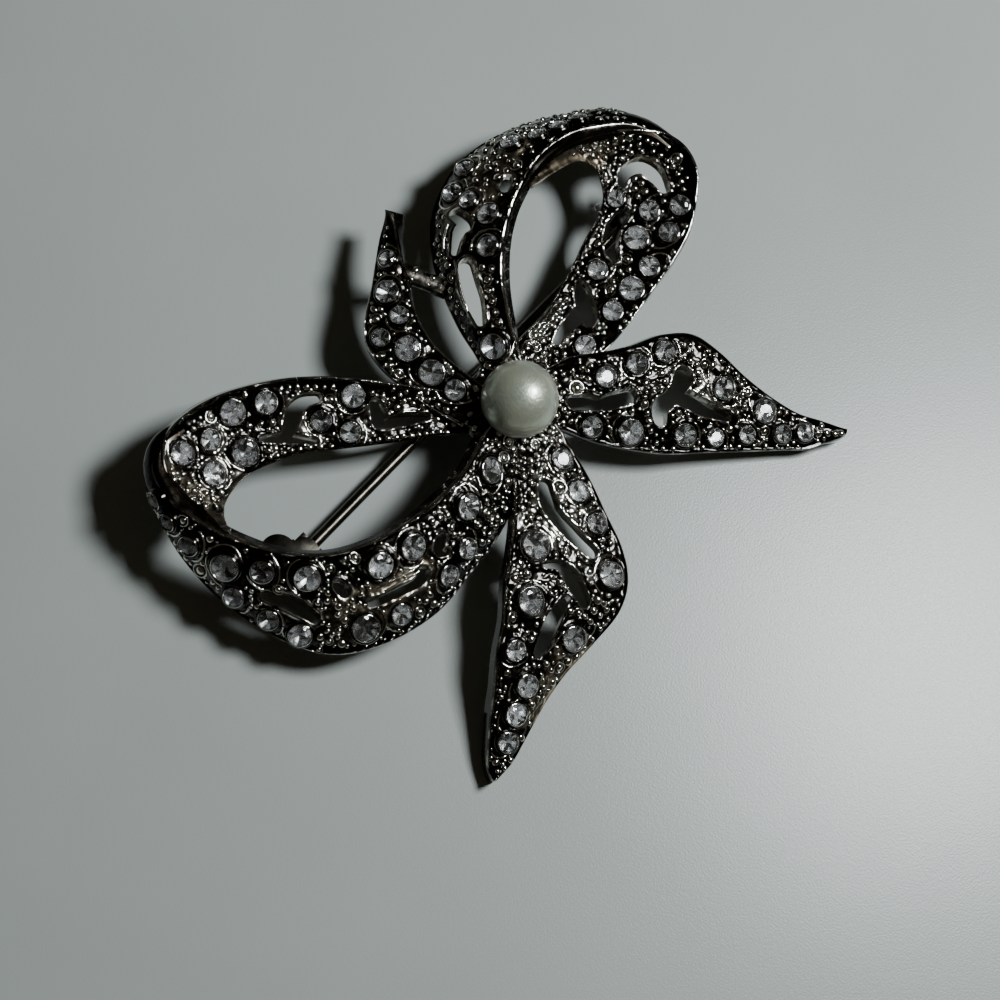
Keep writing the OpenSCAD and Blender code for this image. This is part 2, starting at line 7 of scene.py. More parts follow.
from __future__ import annotations

import json
import logging
import math
from dataclasses import dataclass, field
from enum import Enum

import bmesh
import bpy
import numpy as np
from mathutils import Matrix, Vector

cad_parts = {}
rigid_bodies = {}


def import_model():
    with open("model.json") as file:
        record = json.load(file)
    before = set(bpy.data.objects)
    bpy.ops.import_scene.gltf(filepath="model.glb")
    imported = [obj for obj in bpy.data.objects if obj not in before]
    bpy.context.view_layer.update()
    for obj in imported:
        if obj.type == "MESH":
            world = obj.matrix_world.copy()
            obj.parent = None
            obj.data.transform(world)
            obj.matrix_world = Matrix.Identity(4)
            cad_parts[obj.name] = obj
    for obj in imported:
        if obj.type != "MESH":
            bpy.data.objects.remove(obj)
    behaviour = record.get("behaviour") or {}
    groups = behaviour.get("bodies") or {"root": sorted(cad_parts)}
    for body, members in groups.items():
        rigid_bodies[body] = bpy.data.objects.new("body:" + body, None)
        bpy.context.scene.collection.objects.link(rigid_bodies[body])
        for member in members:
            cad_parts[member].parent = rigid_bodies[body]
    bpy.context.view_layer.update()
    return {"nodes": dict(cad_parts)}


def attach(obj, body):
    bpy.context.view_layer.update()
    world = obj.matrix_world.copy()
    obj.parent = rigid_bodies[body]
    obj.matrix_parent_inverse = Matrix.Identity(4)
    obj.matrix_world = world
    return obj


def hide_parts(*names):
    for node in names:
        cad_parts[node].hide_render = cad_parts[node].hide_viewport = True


LOG = logging.getLogger("bow_brooch")
MM = 0.001
# Vertex colour of the plating; its first share also carries painted shade, lowered over the painted-shade
# zones.
PATINA = "patina"
# Face attribute of the stones: how far painted shade darkens the foil of each of their facets.
FACET_SHADE = "facet"

Row = tuple[float, ...]
Face = tuple[int, ...]
Array = np.ndarray
Piece = bpy.types.Object
Material = bpy.types.Material
Socket = bpy.types.NodeSocket
Tree = bpy.types.NodeTree


class ZoneKind(Enum):
    """What sets a zone of a ribbon's face apart."""

    BARE = "bare"
    BROWN = "brown"
    BRIGHT = "bright"
    # Painted shade: the plating of the zone is made darker, standing in for shade on faces that would catch
    # the lamp.
    DARK = "dark"


class BeadKind(Enum):
    """Kinds of cast bead."""

    PLAIN = "plain"
    RINGED = "ringed"


class StoneSize(Enum):
    """Radii of the stones, in millimetres, by the letter in the tables."""

    A = 1.3
    B = 1.18
    C = 1.05
    D = 0.92
    E = 0.76

    @property
    def is_main(self) -> bool:
        """Tells whether a stone of this size is a piece of its own."""
        return self in (StoneSize.A, StoneSize.B, StoneSize.C)


@dataclass(frozen=True)
class BowSizes:
    """Sizes of the brooch that the part's source names too."""

    bow_w: float = 58.0
    bow_l: float = 44.0
    bow_h: float = 9.0
    wall: float = 1.3
    lip_h: float = 0.28
    knot_x: float = 0.8
    knot_y: float = 1.6
    knot_r: float = 4.6
    knot_top: float = 6.0
    knot_t: float = 2.1
    granule_r: float = 0.5
    granules: int = 20
    pearl_d: float = 7.0
    pearl_sink: float = 0.85
    pearl_gap: float = 0.08
    peg_r: float = 0.45
    peg_h: float = 2.6
    cup_wall: float = 0.26
    cup_h: float = 0.34
    stone_gap: float = 0.05
    crown_h: float = 0.3
    stem_r: float = 0.55
    root_r: float = 0.6
    root_l: float = 1.8
    neck_r: float = 0.46
    point_l: float = 1.6
    pin_y: float = 4.5
    pin_z: float = 1.4
    hinge_x: float = 22.4
    catch_x: float = 23.2
    catch_l: float = 2.2
    rivet_r: float = 0.35
    running_gap: float = 0.05
    eye_r: float = 0.95
    eye_w: float = 1.4
    finding_top: float = 3.0
    post_r: float = 1.5
    post_back: float = 3.2

    @property
    def pearl_z(self) -> float:
        """Height of the pearl's middle over the table."""
        return self.knot_top + self.pearl_d / 2 - self.pearl_sink

    @property
    def knot_place(self) -> Array:
        """Place of the knot's middle, from which the tables are measured."""
        return np.array([self.knot_x, self.knot_y, 0.0])


@dataclass(frozen=True)
class Zone:
    """A stretch of a ribbon's face, between two sections and two shares across."""

    kind: ZoneKind
    start: float
    end: float
    near: float
    far: float

    def mask(self, s: Array, t: Array) -> Array:
        """Soft mask of the zone.

        Args:
            s: Sections along the ribbon.
            t: Shares across it.

        Returns:
            A value from 0, outside, to 1, inside, for each place.
        """
        start = soft_step(s, self.start - 0.4, self.start + 0.2)
        end = soft_step(s, self.end - 0.2, self.end + 0.4)
        near = soft_step(t, self.near - 0.1, self.near + 0.04)
        far = soft_step(t, self.far - 0.04, self.far + 0.1)
        return start * (1 - end) * (near * (1 - far))


@dataclass(frozen=True)
class BeadRow:
    """A row of cast beads in a straight run from one place on a ribbon to another."""

    start: float
    start_share: float
    end: float
    end_share: float
    count: int
    radius: float
    kind: BeadKind = BeadKind.PLAIN


@dataclass(frozen=True)
class RibbonPlan:
    """One ribbon: its rows (rim x, y, z, hem x, y, z), the swell of its face, stones, windows and relief."""

    name: str
    swell: float
    rows: tuple[Row, ...]
    stones: tuple[tuple[float, float, str], ...]
    windows: tuple[tuple[Row, ...], ...] = ()
    bead_rows: tuple[tuple, ...] = ()
    wires: tuple[tuple[tuple[float, float], ...], ...] = ()
    zones: tuple[Zone, ...] = ()
    pits: tuple[Row, ...] = ()
    fade: float = 0.0
    lead: float = 0.0
    rim_margin: float = 0.45
    hem_margin: float = 0.4
    fill: float = 1.0


PLAIN, RINGED = BeadKind
BARE, BROWN, BRIGHT, DARK = ZoneKind

LEFT_FRONT = RibbonPlan(
    name="left_front",
    swell=0.9,
    rows=(
        (-3.5, 1, 73.5, -4.5, -7.5, 58), (-8, 0.5, 82, -10, -13, 55.5), (-13.5, -1.5, 89, -16.5, -16, 51),
        (-19.5, -2, 93.5, -23.5, -17, 46.5), (-26, -1, 95.5, -32, -17.5, 44.5),
        (-33, 1.5, 95.5, -40.5, -14.5, 43.5), (-39, 6, 94.5, -47.5, -8.5, 42),
        (-43.5, 12.5, 93.5, -51.5, 1, 42), (-46.5, 20, 92, -53.5, 13.5, 43.5),
        (-48.5, 28, 91, -53, 26, 46.5), (-49, 36, 90, -50.5, 37, 51), (-47.5, 42, 89, -47.5, 43, 55.5),
        (-44, 44.6, 87.5, -44, 45.6, 66), (-40, 44, 85.5, -40, 44.2, 77),
    ),
    stones=(
        (1.5, 0.3, "b"), (2.6, 0.3, "b"), (4.2, 0.22, "b"), (4.95, 0.22, "b"), (6.5, 0.22, "b"),
        (7.45, 0.26, "c"), (8.2, 0.42, "a"), (5.4, 0.76, "a"), (6.65, 0.84, "c"), (3, 0.66, "d"),
        (3.6, 0.72, "d"), (4.7, 0.76, "d"), (7.25, 0.8, "d"), (7.9, 0.76, "d"), (9, 0.5, "d"),
        (9.6, 0.46, "e"), (10.15, 0.36, "e"),
    ),
    windows=(
        ((5.85, 0.3, 0.55), (5.75, 0.36, 0.6)),
        ((4.1, 0.5, 0.5), (4.25, 0.56, 0.45), (4.95, 0.54, 0.4), (5.25, 0.54, 0.35)),
        ((3.5, 0.34, 0.45), (3.65, 0.42, 0.55), (3.5, 0.5, 0.35)),
        ((7.35, 0.52, 0.35), (6.75, 0.52, 0.65), (6.35, 0.62, 0.45)),
    ),
    bead_rows=(
        (7.1, 0.2, 7.1, 0.4, 2, 0.24, RINGED), (6, 0.14, 6.3, 0.46, 2, 0.24, RINGED),
        (7.6, 0.55, 7.55, 0.95, 3, 0.2), (5.4, 0.36, 5.1, 0.5, 2, 0.24),
        (5.9, 0.74, 6.3, 0.96, 3, 0.22, RINGED), (3.75, 0.22, 3.2, 0.42, 3, 0.24),
        (2.1, 0.62, 2.5, 0.56, 2, 0.28, RINGED), (0.7, 0.2, 2, 0.08, 7, 0.2),
        (2.4, 0.95, 6.1, 0.97, 22, 0.13),
    ),
    wires=(
        ((5.1, 0.42), (4.7, 0.41), (4.25, 0.42)), ((5.05, 0.47), (4.65, 0.465), (4.2, 0.465)),
        ((3.6, 0), (3, 0), (2.3, 0)), ((4.4, 0), (4.1, 0)), ((4, 0), (3.8, 0)),
    ),
    zones=(
        Zone(BROWN, 4, 6, 0.4, 0.8), Zone(BARE, 9.8, 14, 0, 1), Zone(DARK, 9.8, 14, 0, 1),
    ),
    fade=3.4,
    pits=((6.2, 0.3, 0.4), (6.95, 0.34, 0.35), (5.35, 0.4, 0.4), (6.1, 0.56, 0.45), (5.6, 0.56, 0.3)),
)

LEFT_BACK = RibbonPlan(
    name="left_back",
    swell=-0.5,
    rows=(
        (-47.4, 23.1, 89.5, -46.8, 23.1, 84), (-47, 29.5, 89.5, -45.6, 25.7, 75.5),
        (-47.3, 36, 89.3, -44.4, 27, 69), (-46.5, 41.6, 89, -43.2, 28, 64.5),
        (-43, 45.5, 88, -41, 28.8, 62), (-38.5, 46, 86.5, -38.5, 29, 61),
        (-33.5, 44.5, 85.5, -36, 28.5, 60), (-28.5, 41.5, 84.5, -33, 27, 59),
        (-22.5, 36.5, 82, -29, 24.5, 58), (-17, 30, 79, -24, 19.5, 56.5),
        (-12, 22.5, 74.5, -17.5, 13, 55.5), (-7.5, 15, 71, -12, 8, 54.5), (-3.5, 8, 69, -7.5, 3, 54.5),
        (-0.5, 3.5, 66.5, -3.5, -1, 54.5),
    ),
    stones=(
        (4.2, 0.72, "c"), (3.95, 0.28, "c"), (5.2, 0.42, "d"), (6.1, 0.76, "a"), (6.4, 0.26, "b"),
        (7.4, 0.26, "c"), (8.65, 0.6, "d"), (9.35, 0.26, "c"), (9.25, 0.78, "d"),
    ),
    windows=(
        ((8.6, 0.28, 0.45), (8.3, 0.32, 0.6), (8.05, 0.46, 0.75), (7.8, 0.7, 0.6)),
        ((7, 0.68, 0.3), (7.7, 0.76, 0.45), (8.5, 0.86, 0.25)),
        ((9.8, 0.36, 0.5), (9.85, 0.54, 0.75), (9.85, 0.68, 0.5), (10.35, 0.64, 0.55), (10.95, 0.6, 0.3)),
    ),
    bead_rows=(
        (7, 0.93, 9.1, 0.95, 9, 0.26), (9.6, 0.93, 11.4, 0.95, 11, 0.27), (7.8, 0.13, 8.95, 0.15, 7, 0.23),
        (9.75, 0.2, 11.3, 0.46, 8, 0.27), (10.2, 0.12, 11.9, 0.2, 7, 0.2),
        (6.75, 0.48, 7.45, 0.54, 3, 0.28), (6.95, 0.1, 6.95, 0.2, 2, 0.26),
        (5.7, 0.2, 5.5, 0.45, 3, 0.26, RINGED), (3, 0.3, 3.4, 0.8, 4, 0.24),
        (4.9, 0.86, 5.9, 0.95, 4, 0.24),
    ),
    zones=(
        Zone(BROWN, 0, 3.2, 0, 1), Zone(BARE, 0, 1.8, 0, 1), Zone(BRIGHT, 2.4, 5.6, 0.5, 1),
    ),
    lead=3.0,
    rim_margin=0.85,
)

RIGHT_FRONT = RibbonPlan(
    name="right_front",
    swell=1.1,
    rows=(
        (6.5, 5.5, 71, 0.5, 6.5, 55.5), (8, 10, 81, 2.5, 12.5, 54.5), (10.5, 15.5, 90, 4, 19, 52),
        (13.5, 20.5, 96.5, 6.5, 26.5, 50), (17.5, 25, 100, 9.5, 33, 48), (21.5, 28, 101, 13.5, 38.5, 46.5),
        (25.5, 30, 102, 18.5, 42, 45.5), (30, 31.5, 101, 23.5, 43.5, 45.5),
        (34.5, 31.5, 100, 29.5, 43, 45.5), (39, 30, 98, 35.5, 40.5, 46.5), (43, 27, 95.5, 41, 36, 50),
        (46.5, 23.5, 93.5, 46, 31, 55.5), (48.6, 19.4, 92, 49, 22, 66), (49.2, 14.6, 89.5, 49.4, 15, 78),
    ),
    stones=(
        (1, 0.46, "b"), (3.85, 0.18, "c"), (4.9, 0.22, "c"), (5.45, 0.5, "e"), (5.85, 0.76, "d"),
        (6.75, 0.76, "d"), (7.7, 0.42, "d"), (8.2, 0.24, "e"), (8.85, 0.2, "e"), (9.6, 0.24, "e"),
    ),
    windows=(
        ((5.1, 0.62, 0.6), (4.7, 0.48, 0.65), (4.5, 0.56, 0.5), (3.95, 0.62, 0.3)),
        ((3.5, 0.48, 0.62), (3, 0.48, 0.78), (2.5, 0.46, 0.75), (1.85, 0.48, 0.4)),
        ((6.3, 0.16, 0.4), (5.9, 0.16, 0.45)),
    ),
    bead_rows=(
        (5.35, 0.87, 1.6, 0.86, 10, 0.22), (2.9, 0.22, 1.6, 0.22, 5, 0.26, RINGED),
        (2.2, 0.64, 1.6, 0.6, 3, 0.22), (4.8, 0.04, 8.3, 0.04, 10, 0.15), (6.9, 0.5, 8.4, 0.62, 5, 0.22),
        (6.2, 0.4, 7.3, 0.2, 4, 0.2), (8.6, 0.5, 10.6, 0.5, 7, 0.16),
    ),
    wires=(
        ((4.85, 0.72), (4.5, 0.77), (4.1, 0.8)), ((3.75, 0.64), (3.3, 0.63), (2.8, 0.64), (2.3, 0.65)),
        ((3.7, 0), (2.8, 0), (1.9, 0), (1, 0)), ((8.4, 0), (8.85, 0), (9.3, 0)),
        ((9.45, 0), (9.8, 0), (10.2, 0)), ((10.35, 0), (10.5, 0)), ((10.7, 0), (10.9, 0)),
        ((11.1, 0), (11.4, 0)), ((11.6, 0), (11.75, 0)), ((12.1, 0), (12.4, 0)),
    ),
    zones=(
        Zone(BROWN, 5, 8, 0.2, 0.8), Zone(BARE, 11.3, 14, 0, 1), Zone(DARK, 4.5, 14, 0, 1),
    ),
    fade=3.4,
    pits=(
        (7.4, 0.2, 0.4), (6.9, 0.34, 0.5), (7.3, 0.5, 0.45), (8.2, 0.52, 0.4), (5.4, 0.34, 0.35),
        (6.3, 0.58, 0.45), (9.2, 0.42, 0.35), (4.1, 0.4, 0.35), (5.2, 0.84, 0.3), (3.4, 0.84, 0.3),
        (4.4, 0.84, 0.3),
    ),
    fill=0.3,
)

RIGHT_BACK = RibbonPlan(
    name="right_back",
    swell=-0.5,
    rows=(
        (26.6, 29.4, 99, 27, 28.9, 94), (32, 29.8, 99.5, 32, 28, 84.5), (37, 29, 97.5, 36, 27, 75.5),
        (42, 26.2, 94.5, 38.3, 25.4, 69), (46.5, 22.4, 93, 39, 22.3, 65.5), (50, 17.5, 91, 38, 19.5, 63.5),
        (51, 12, 90, 36.5, 17, 61), (49.5, 6.5, 88, 34.5, 15.5, 59), (46, 2.5, 84.5, 32, 14.5, 56.5),
        (41.5, -1, 80, 29, 13.5, 54.5), (36, -3, 75.5, 25.5, 12, 53.5), (30.5, -4, 71, 21.5, 10.5, 53.5),
        (25.5, -5, 68, 17.5, 9.5, 53.5), (21, -5.5, 64.5, 13.5, 9, 53.5), (17.5, -5.5, 61, 9.5, 9, 53.5),
        (13.5, -4.5, 60.5, 6.5, 8, 55.5), (9.5, -2, 60.5, 4, 6, 57.5),
    ),
    stones=(
        (6.55, 0.84, "e"), (7.9, 0.46, "d"), (8.05, 0.16, "d"), (8.95, 0.2, "d"), (9, 0.5, "b"),
        (10.15, 0.22, "d"), (11, 0.24, "b"), (10.3, 0.72, "d"), (11.95, 0.28, "d"), (13.75, 0.26, "d"),
    ),
    windows=(
        ((5.85, 0.76, 0.4), (5.4, 0.66, 0.6), (5.6, 0.48, 0.75), (6.3, 0.4, 0.8), (7.1, 0.34, 0.5)),
        ((7.65, 0.72, 0.6), (8.3, 0.78, 0.7), (9.2, 0.72, 0.7), (9.75, 0.62, 0.4)),
        ((10.9, 0.82, 0.45), (11.45, 0.7, 0.85), (12.05, 0.56, 0.95), (12.5, 0.44, 0.45)),
        ((12.2, 0.62, 0.8), (13.05, 0.64, 0.5), (13.7, 0.6, 0.35)),
    ),
    bead_rows=(
        (5.4, 0.28, 7.8, 0.13, 8, 0.24), (3.6, 0.66, 4.8, 0.3, 6, 0.23), (9.2, 0.93, 10.4, 0.92, 4, 0.24),
        (11.6, 0.88, 13.6, 0.88, 9, 0.26, RINGED), (8.5, 0.06, 12.6, 0.07, 15, 0.22),
        (12.4, 0.2, 13.3, 0.5, 4, 0.26), (4.6, 0.72, 5.1, 0.86, 3, 0.2), (2.6, 0.3, 4.2, 0.1, 6, 0.2),
        (9.65, 0.36, 9.8, 0.5, 2, 0.28, RINGED), (10.7, 0.5, 11.4, 0.42, 3, 0.28, RINGED),
        (14, 0.62, 15.6, 0.7, 5, 0.3), (14.3, 0.4, 15.7, 0.46, 4, 0.26), (14.4, 0.14, 15.6, 0.2, 4, 0.28),
    ),
    zones=(
        Zone(BARE, 0, 2.2, 0, 1), Zone(BROWN, 0, 4, 0, 1), Zone(DARK, 0, 3.4, 0, 1),
    ),
    lead=4.0,
    rim_margin=1.0,
)

SMALL_TAIL = RibbonPlan(
    name="small_tail",
    swell=0.5,
    rows=(
        (-0.5, 3.5, 69, -8, 5.5, 60), (-1.5, 10.5, 73.5, -9.5, 13.5, 62), (-2, 15.5, 74.5, -10, 20, 62),
        (-2, 20.5, 75.5, -10, 25.5, 62), (-1, 25.5, 76.5, -9, 30.5, 62), (0.5, 29.5, 78, -6, 34.5, 62),
        (2.5, 33, 78, -2, 37.5, 62), (4.5, 37, 76.5, 1.5, 40.5, 62), (6.5, 40.5, 74.5, 5, 43.5, 62),
        (8.5, 43.5, 70, 8, 45.5, 61), (10, 46, 65.5, 9.7, 46.5, 60),
    ),
    stones=(
        (0.9, 0.42, "d"), (1.9, 0.42, "b"), (3.2, 0.42, "b"), (4, 0.72, "e"), (4.6, 0.3, "e"),
        (5.7, 0.52, "c"), (7.1, 0.48, "e"),
    ),
    bead_rows=(
        (6.6, 0.08, 1.8, 0.1, 11, 0.17), (6.5, 0.36, 6.55, 0.6, 2, 0.17),
        (4.3, 0.9, 2.4, 0.84, 5, 0.2, RINGED), (7.7, 0.7, 8.6, 0.5, 3, 0.16), (5, 0.86, 6.4, 0.9, 4, 0.15),
    ),
    zones=(Zone(BARE, 7.6, 11, 0, 1),),
    fill=0.7,
)

RIGHT_TAIL = RibbonPlan(
    name="right_tail",
    swell=0.7,
    rows=(
        (6.5, 1.5, 62, 0.5, -5, 58), (12.3, -1, 66, 3.5, -10.5, 54.5), (16.6, -5.1, 70, 6, -17, 49),
        (20.9, -8.7, 71, 9.5, -23.5, 43.5), (25.8, -11.7, 70, 13.5, -29.5, 38),
        (29.8, -16.2, 64, 18, -34.5, 32), (31.5, -22.7, 53, 22, -39, 27), (32.2, -30.1, 42, 25.5, -43, 23),
        (33.3, -37, 33, 29, -47, 20), (34.9, -43.5, 25.5, 32, -50.5, 17.5), (37, -48, 19.5, 35, -52.5, 16),
        (38.5, -51.5, 16, 37, -54, 15), (39.3, -53.5, 15, 38.3, -54.5, 15),
    ),
    stones=(
        (2.15, 0.28, "d"), (3.1, 0.18, "d"), (4, 0.14, "d"), (1.85, 0.84, "d"), (2.95, 0.82, "b"),
        (4.5, 0.84, "c"), (5.45, 0.86, "e"), (6.6, 0.8, "e"), (5.9, 0.38, "c"), (7.45, 0.4, "c"),
        (8, 0.7, "e"), (8.95, 0.56, "e"),
    ),
    windows=(
        ((1.25, 0.6, 0.7), (1.6, 0.58, 0.75), (2.05, 0.57, 0.6), (2.4, 0.53, 0.75), (2.9, 0.48, 0.7)),
        ((4.55, 0.36, 0.95), (4.25, 0.5, 0.75), (3.8, 0.6, 0.8), (3.8, 0.7, 0.65)),
        ((4.2, 0.5, 0.7), (4.7, 0.56, 0.85), (5.15, 0.62, 0.75), (5.9, 0.66, 0.4)),
    ),
    bead_rows=(
        (9.6, 0.6, 11.2, 0.6, 4, 0.28), (3.6, 0.95, 6.3, 0.94, 10, 0.22), (6.9, 0.93, 8.6, 0.92, 5, 0.2),
        (5.1, 0.5, 5.3, 0.42, 2, 0.22), (4.6, 0.1, 6.9, 0.08, 9, 0.2),
        (6.4, 0.42, 6.9, 0.24, 3, 0.22, RINGED), (8.6, 0.3, 8.1, 0.3, 2, 0.2),
        (0.6, 0.25, 1.7, 0.15, 5, 0.24), (1.2, 0.86, 0.7, 0.6, 3, 0.24), (3.5, 0.3, 3.6, 0.46, 2, 0.2),
    ),
    wires=(
        ((5.15, 0.3), (5.3, 0.5), (5.7, 0.58), (6.2, 0.56)), ((2.3, 0.9), (2.5, 0.96), (3.2, 0.97)),
    ),
    zones=(
        Zone(BRIGHT, 4, 5.6, 0.3, 0.55), Zone(BARE, 10, 13, 0, 1), Zone(DARK, 0, 13, 0, 1),
    ),
    rim_margin=0.6,
)

LEFT_TAIL = RibbonPlan(
    name="left_tail",
    swell=0.7,
    rows=(
        (-1.5, -2.5, 62, 3.5, -8, 60), (-5.7, -7, 66, 2, -15, 58), (-9.3, -11.1, 69, 0.5, -22, 54.5),
        (-13, -15.2, 71, -1.5, -29, 51), (-17.7, -19.7, 71, -3.5, -36, 46.5),
        (-22.3, -23.7, 69, -6.5, -41.5, 42), (-26.2, -28.2, 64, -11, -44.5, 38),
        (-30.6, -32.2, 56, -17.5, -45, 33.5), (-34.4, -36.6, 46, -23.5, -45, 29),
        (-37.7, -40.1, 34.5, -29, -46, 25), (-41.1, -44, 24.5, -35, -48, 20.5),
        (-43, -46.5, 17.5, -39.5, -49.5, 16.5), (-44, -48.8, 15, -43.3, -49.7, 15),
    ),
    stones=(
        (1.3, 0.7, "d"), (2.35, 0.74, "d"), (3.3, 0.82, "d"), (3.9, 0.2, "a"), (4.8, 0.84, "b"),
        (5.5, 0.2, "a"), (6.7, 0.7, "b"), (6.9, 0.16, "d"), (8.05, 0.4, "c"), (9.05, 0.4, "c"),
        (9.9, 0.4, "d"),
    ),
    windows=(
        ((2.1, 0.36, 0.6), (2.6, 0.36, 0.8), (3, 0.4, 0.75), (3.7, 0.58, 0.75), (4.1, 0.7, 0.65)),
        ((4.45, 0.3, 0.3), (4.5, 0.42, 0.5), (4.95, 0.53, 0.8), (5.6, 0.64, 0.6)),
        ((5.5, 0.48, 0.45), (6.15, 0.41, 0.7), (6.65, 0.41, 0.65), (7.05, 0.4, 0.4)),
    ),
    bead_rows=(
        (0.9, 0.24, 3.1, 0.16, 7, 0.3), (2.65, 0.9, 3.85, 0.9, 3, 0.28), (3.1, 0.58, 2.7, 0.62, 2, 0.3),
        (4.1, 0.46, 4.7, 0.66, 2, 0.26, RINGED), (6.2, 0.05, 6.2, 0.28, 3, 0.2),
        (7.4, 0.4, 7.8, 0.56, 2, 0.22), (7.7, 0.07, 10.4, 0.1, 8, 0.15), (8.2, 0.9, 9.3, 0.8, 4, 0.17),
        (5.6, 0.93, 7.4, 0.93, 7, 0.22), (11.3, 0.4, 10.9, 0.5, 2, 0.17), (0.5, 0.5, 0.9, 0.8, 3, 0.26),
        (1.7, 0.5, 1.9, 0.9, 3, 0.22),
    ),
    wires=(((9.6, 0.75), (8.9, 0.82), (8.3, 0.76), (7.9, 0.66)),),
    zones=(
        Zone(BRIGHT, 1.6, 3.9, 0.1, 0.85), Zone(BROWN, 7, 9.5, 0.6, 1), Zone(DARK, 5, 12, 0, 1),
    ),
)

RIBBONS = (LEFT_FRONT, LEFT_BACK, RIGHT_FRONT, RIGHT_BACK, SMALL_TAIL, RIGHT_TAIL, LEFT_TAIL)


# small maths


def soft_step(x: Array, low: float, high: float) -> Array:
    """Smooth rise from 0 at low to 1 at high.

    Args:
        x: Values to place on the rise.
        low: Where the rise starts.
        high: Where it ends.

    Returns:
        The risen values, from 0 to 1.
    """
    u = np.clip((x - low) / (high - low), 0.0, 1.0)
    return u * u * (3.0 - 2.0 * u)


def bump(x: Array, middle: float, spread: float) -> Array:
    """Bell curve of height 1 round a middle."""
    return np.exp(-(((x - middle) / spread) ** 2))


def unit(v: Array) -> Array:
    """Vectors scaled to length 1, along the last axis."""
    return v / np.maximum(np.linalg.norm(v, axis=-1, keepdims=True), 1e-12)


def lattice_noise(points: Array, pitch: float, seed: int) -> Array:
    """Smooth noise from random values on a cubic lattice.

    Args:
        points: Places, in millimetres, one a row.
        pitch: Lattice spacing in millimetres.
        seed: Seed of the lattice's values.

    Returns:
        Noise from about -1 to 1, for each place.
    """
    size = 32
    values = np.random.default_rng(seed).uniform(-1.0, 1.0, (size, size, size))
    q = points / pitch
    cell = np.floor(q).astype(int)
    u = q - cell
    u = u * u * (3.0 - 2.0 * u)
    total = np.zeros(len(points))
    for corner in np.ndindex(2, 2, 2):
        weight = np.prod(np.where(np.array(corner) == 1, u, 1.0 - u), axis=1)
        i, j, k = ((cell + np.array(corner)) % size).T
        total += weight * values[i, j, k]
    return total


def with_ends(rows: Array) -> Array:
    """Rows with one more beyond each end, in line with the last two."""
    return np.vstack([2 * rows[0] - rows[1], rows, 2 * rows[-1] - rows[-2]])


def run_through(rows: Array, where: Array) -> Array:
    """Values on the smooth run that passes through some rows.

    Args:
        rows: The rows, with one more beyond each end.
        where: Places on the run: 0 at the first row, 1 at the second.

    Returns:
        The values, one row for each place.
    """
    k = np.clip(np.floor(where).astype(int), 0, len(rows) - 4)
    u = (where - k)[:, None]
    a, b, c, d = (rows[k + i] for i in range(4))
    return (2 * b + (c - a) * u + (2 * a - 5 * b + 4 * c - d) * u**2 + (3 * b - a - 3 * c + d) * u**3) / 2


def smoothed(points: Array, steps: int) -> Array:
    """Adds points on a smooth run through some others, in some steps from each to the next."""
    return run_through(with_ends(points), np.linspace(0, len(points) - 1, steps * (len(points) - 1) + 1))


def on_circle(angles: Array) -> Array:
    """Flat points of a circle of radius 1, at some angles."""
    return np.stack([np.cos(angles), np.sin(angles)], axis=1)


def frame_of(normal: Array, turn: float) -> Array:
    """Right-handed axes with their third along a normal.

    Args:
        normal: Direction of the third axis.
        turn: Turn of the first two round it, in radians.

    Returns:
        A 3 by 3 array whose rows are the axes.
    """
    side = np.array([0.0, 1.0, 0.0]) if abs(normal[1]) < 0.9 else np.array([1.0, 0.0, 0.0])
    first = unit(np.cross(side, normal))
    second = np.cross(normal, first)
    cos, sin = math.cos(turn), math.sin(turn)
    return np.array([first * cos + second * sin, second * cos - first * sin, normal])


# mesh drafts


@dataclass
class MeshDraft:
    """Loose shells gathered for one mesh, with the patina of each vertex (wear, brown and polish)."""

    points: list[Array] = field(default_factory=list)
    faces: list[Face] = field(default_factory=list)
    patina: list[Array] = field(default_factory=list)
    slots: list[int] = field(default_factory=list)
    count: int = 0

    def add(self, points: Array, faces: list[Face], patina: Array | Row = (0.5, 0.0, 0.0)) -> None:
        """Adds one closed shell, turned right way out.

        Args:
            points: Vertices in millimetres, one a row.
            faces: Vertex numbers of each face.
            patina: One patina for the shell, or one for each vertex.
        """
        points = np.asarray(points, float)
        if shell_volume(points, faces) < 0:
            faces = [f[::-1] for f in faces]
        self.points.append(points)
        self.faces += [tuple(i + self.count for i in f) for f in faces]
        self.patina.append(np.broadcast_to(np.asarray(patina, float), (len(points), 3)))
        self.slots += [0] * len(faces)
        self.count += len(points)

    def build(self, name: str, place: Array | None = None) -> Piece:
        """Makes the object, with its place in its mesh.

        Args:
            name: Name of the piece.
            place: Shift in millimetres, where the draft is drawn round the knot.

        Returns:
            The new object, linked to the scene.
        """
        points = np.concatenate(self.points)
        if place is not None:
            points = points + place
        mesh = bpy.data.meshes.new(name)
        mesh.from_pydata((points * MM).tolist(), [], self.faces)
        attribute = mesh.color_attributes.new(PATINA, "FLOAT_COLOR", "POINT")
        colours = np.ones((len(points), 4), np.float32)
        colours[:, :3] = np.concatenate(self.patina)
        attribute.data.foreach_set("color", colours.ravel())
        mesh.polygons.foreach_set("material_index", np.array(self.slots, np.int32))
        mesh.update()
        return link_piece(name, mesh)


def shell_volume(points: Array, faces: list[Face]) -> float:
    """Signed volume inside a closed shell, above zero where its faces point outwards.

    Args:
        points: the shell's points.
        faces: the shell's faces.

    Returns:
        The volume, in the points' own unit cubed.
    """
    fans = [(f[0], f[i], f[i + 1]) for f in faces for i in range(1, len(f) - 1)]
    a, b, c = points[np.array(fans)].transpose(1, 0, 2)
    return float(np.einsum("ij,ij->i", a, np.cross(b, c)).sum() / 6)


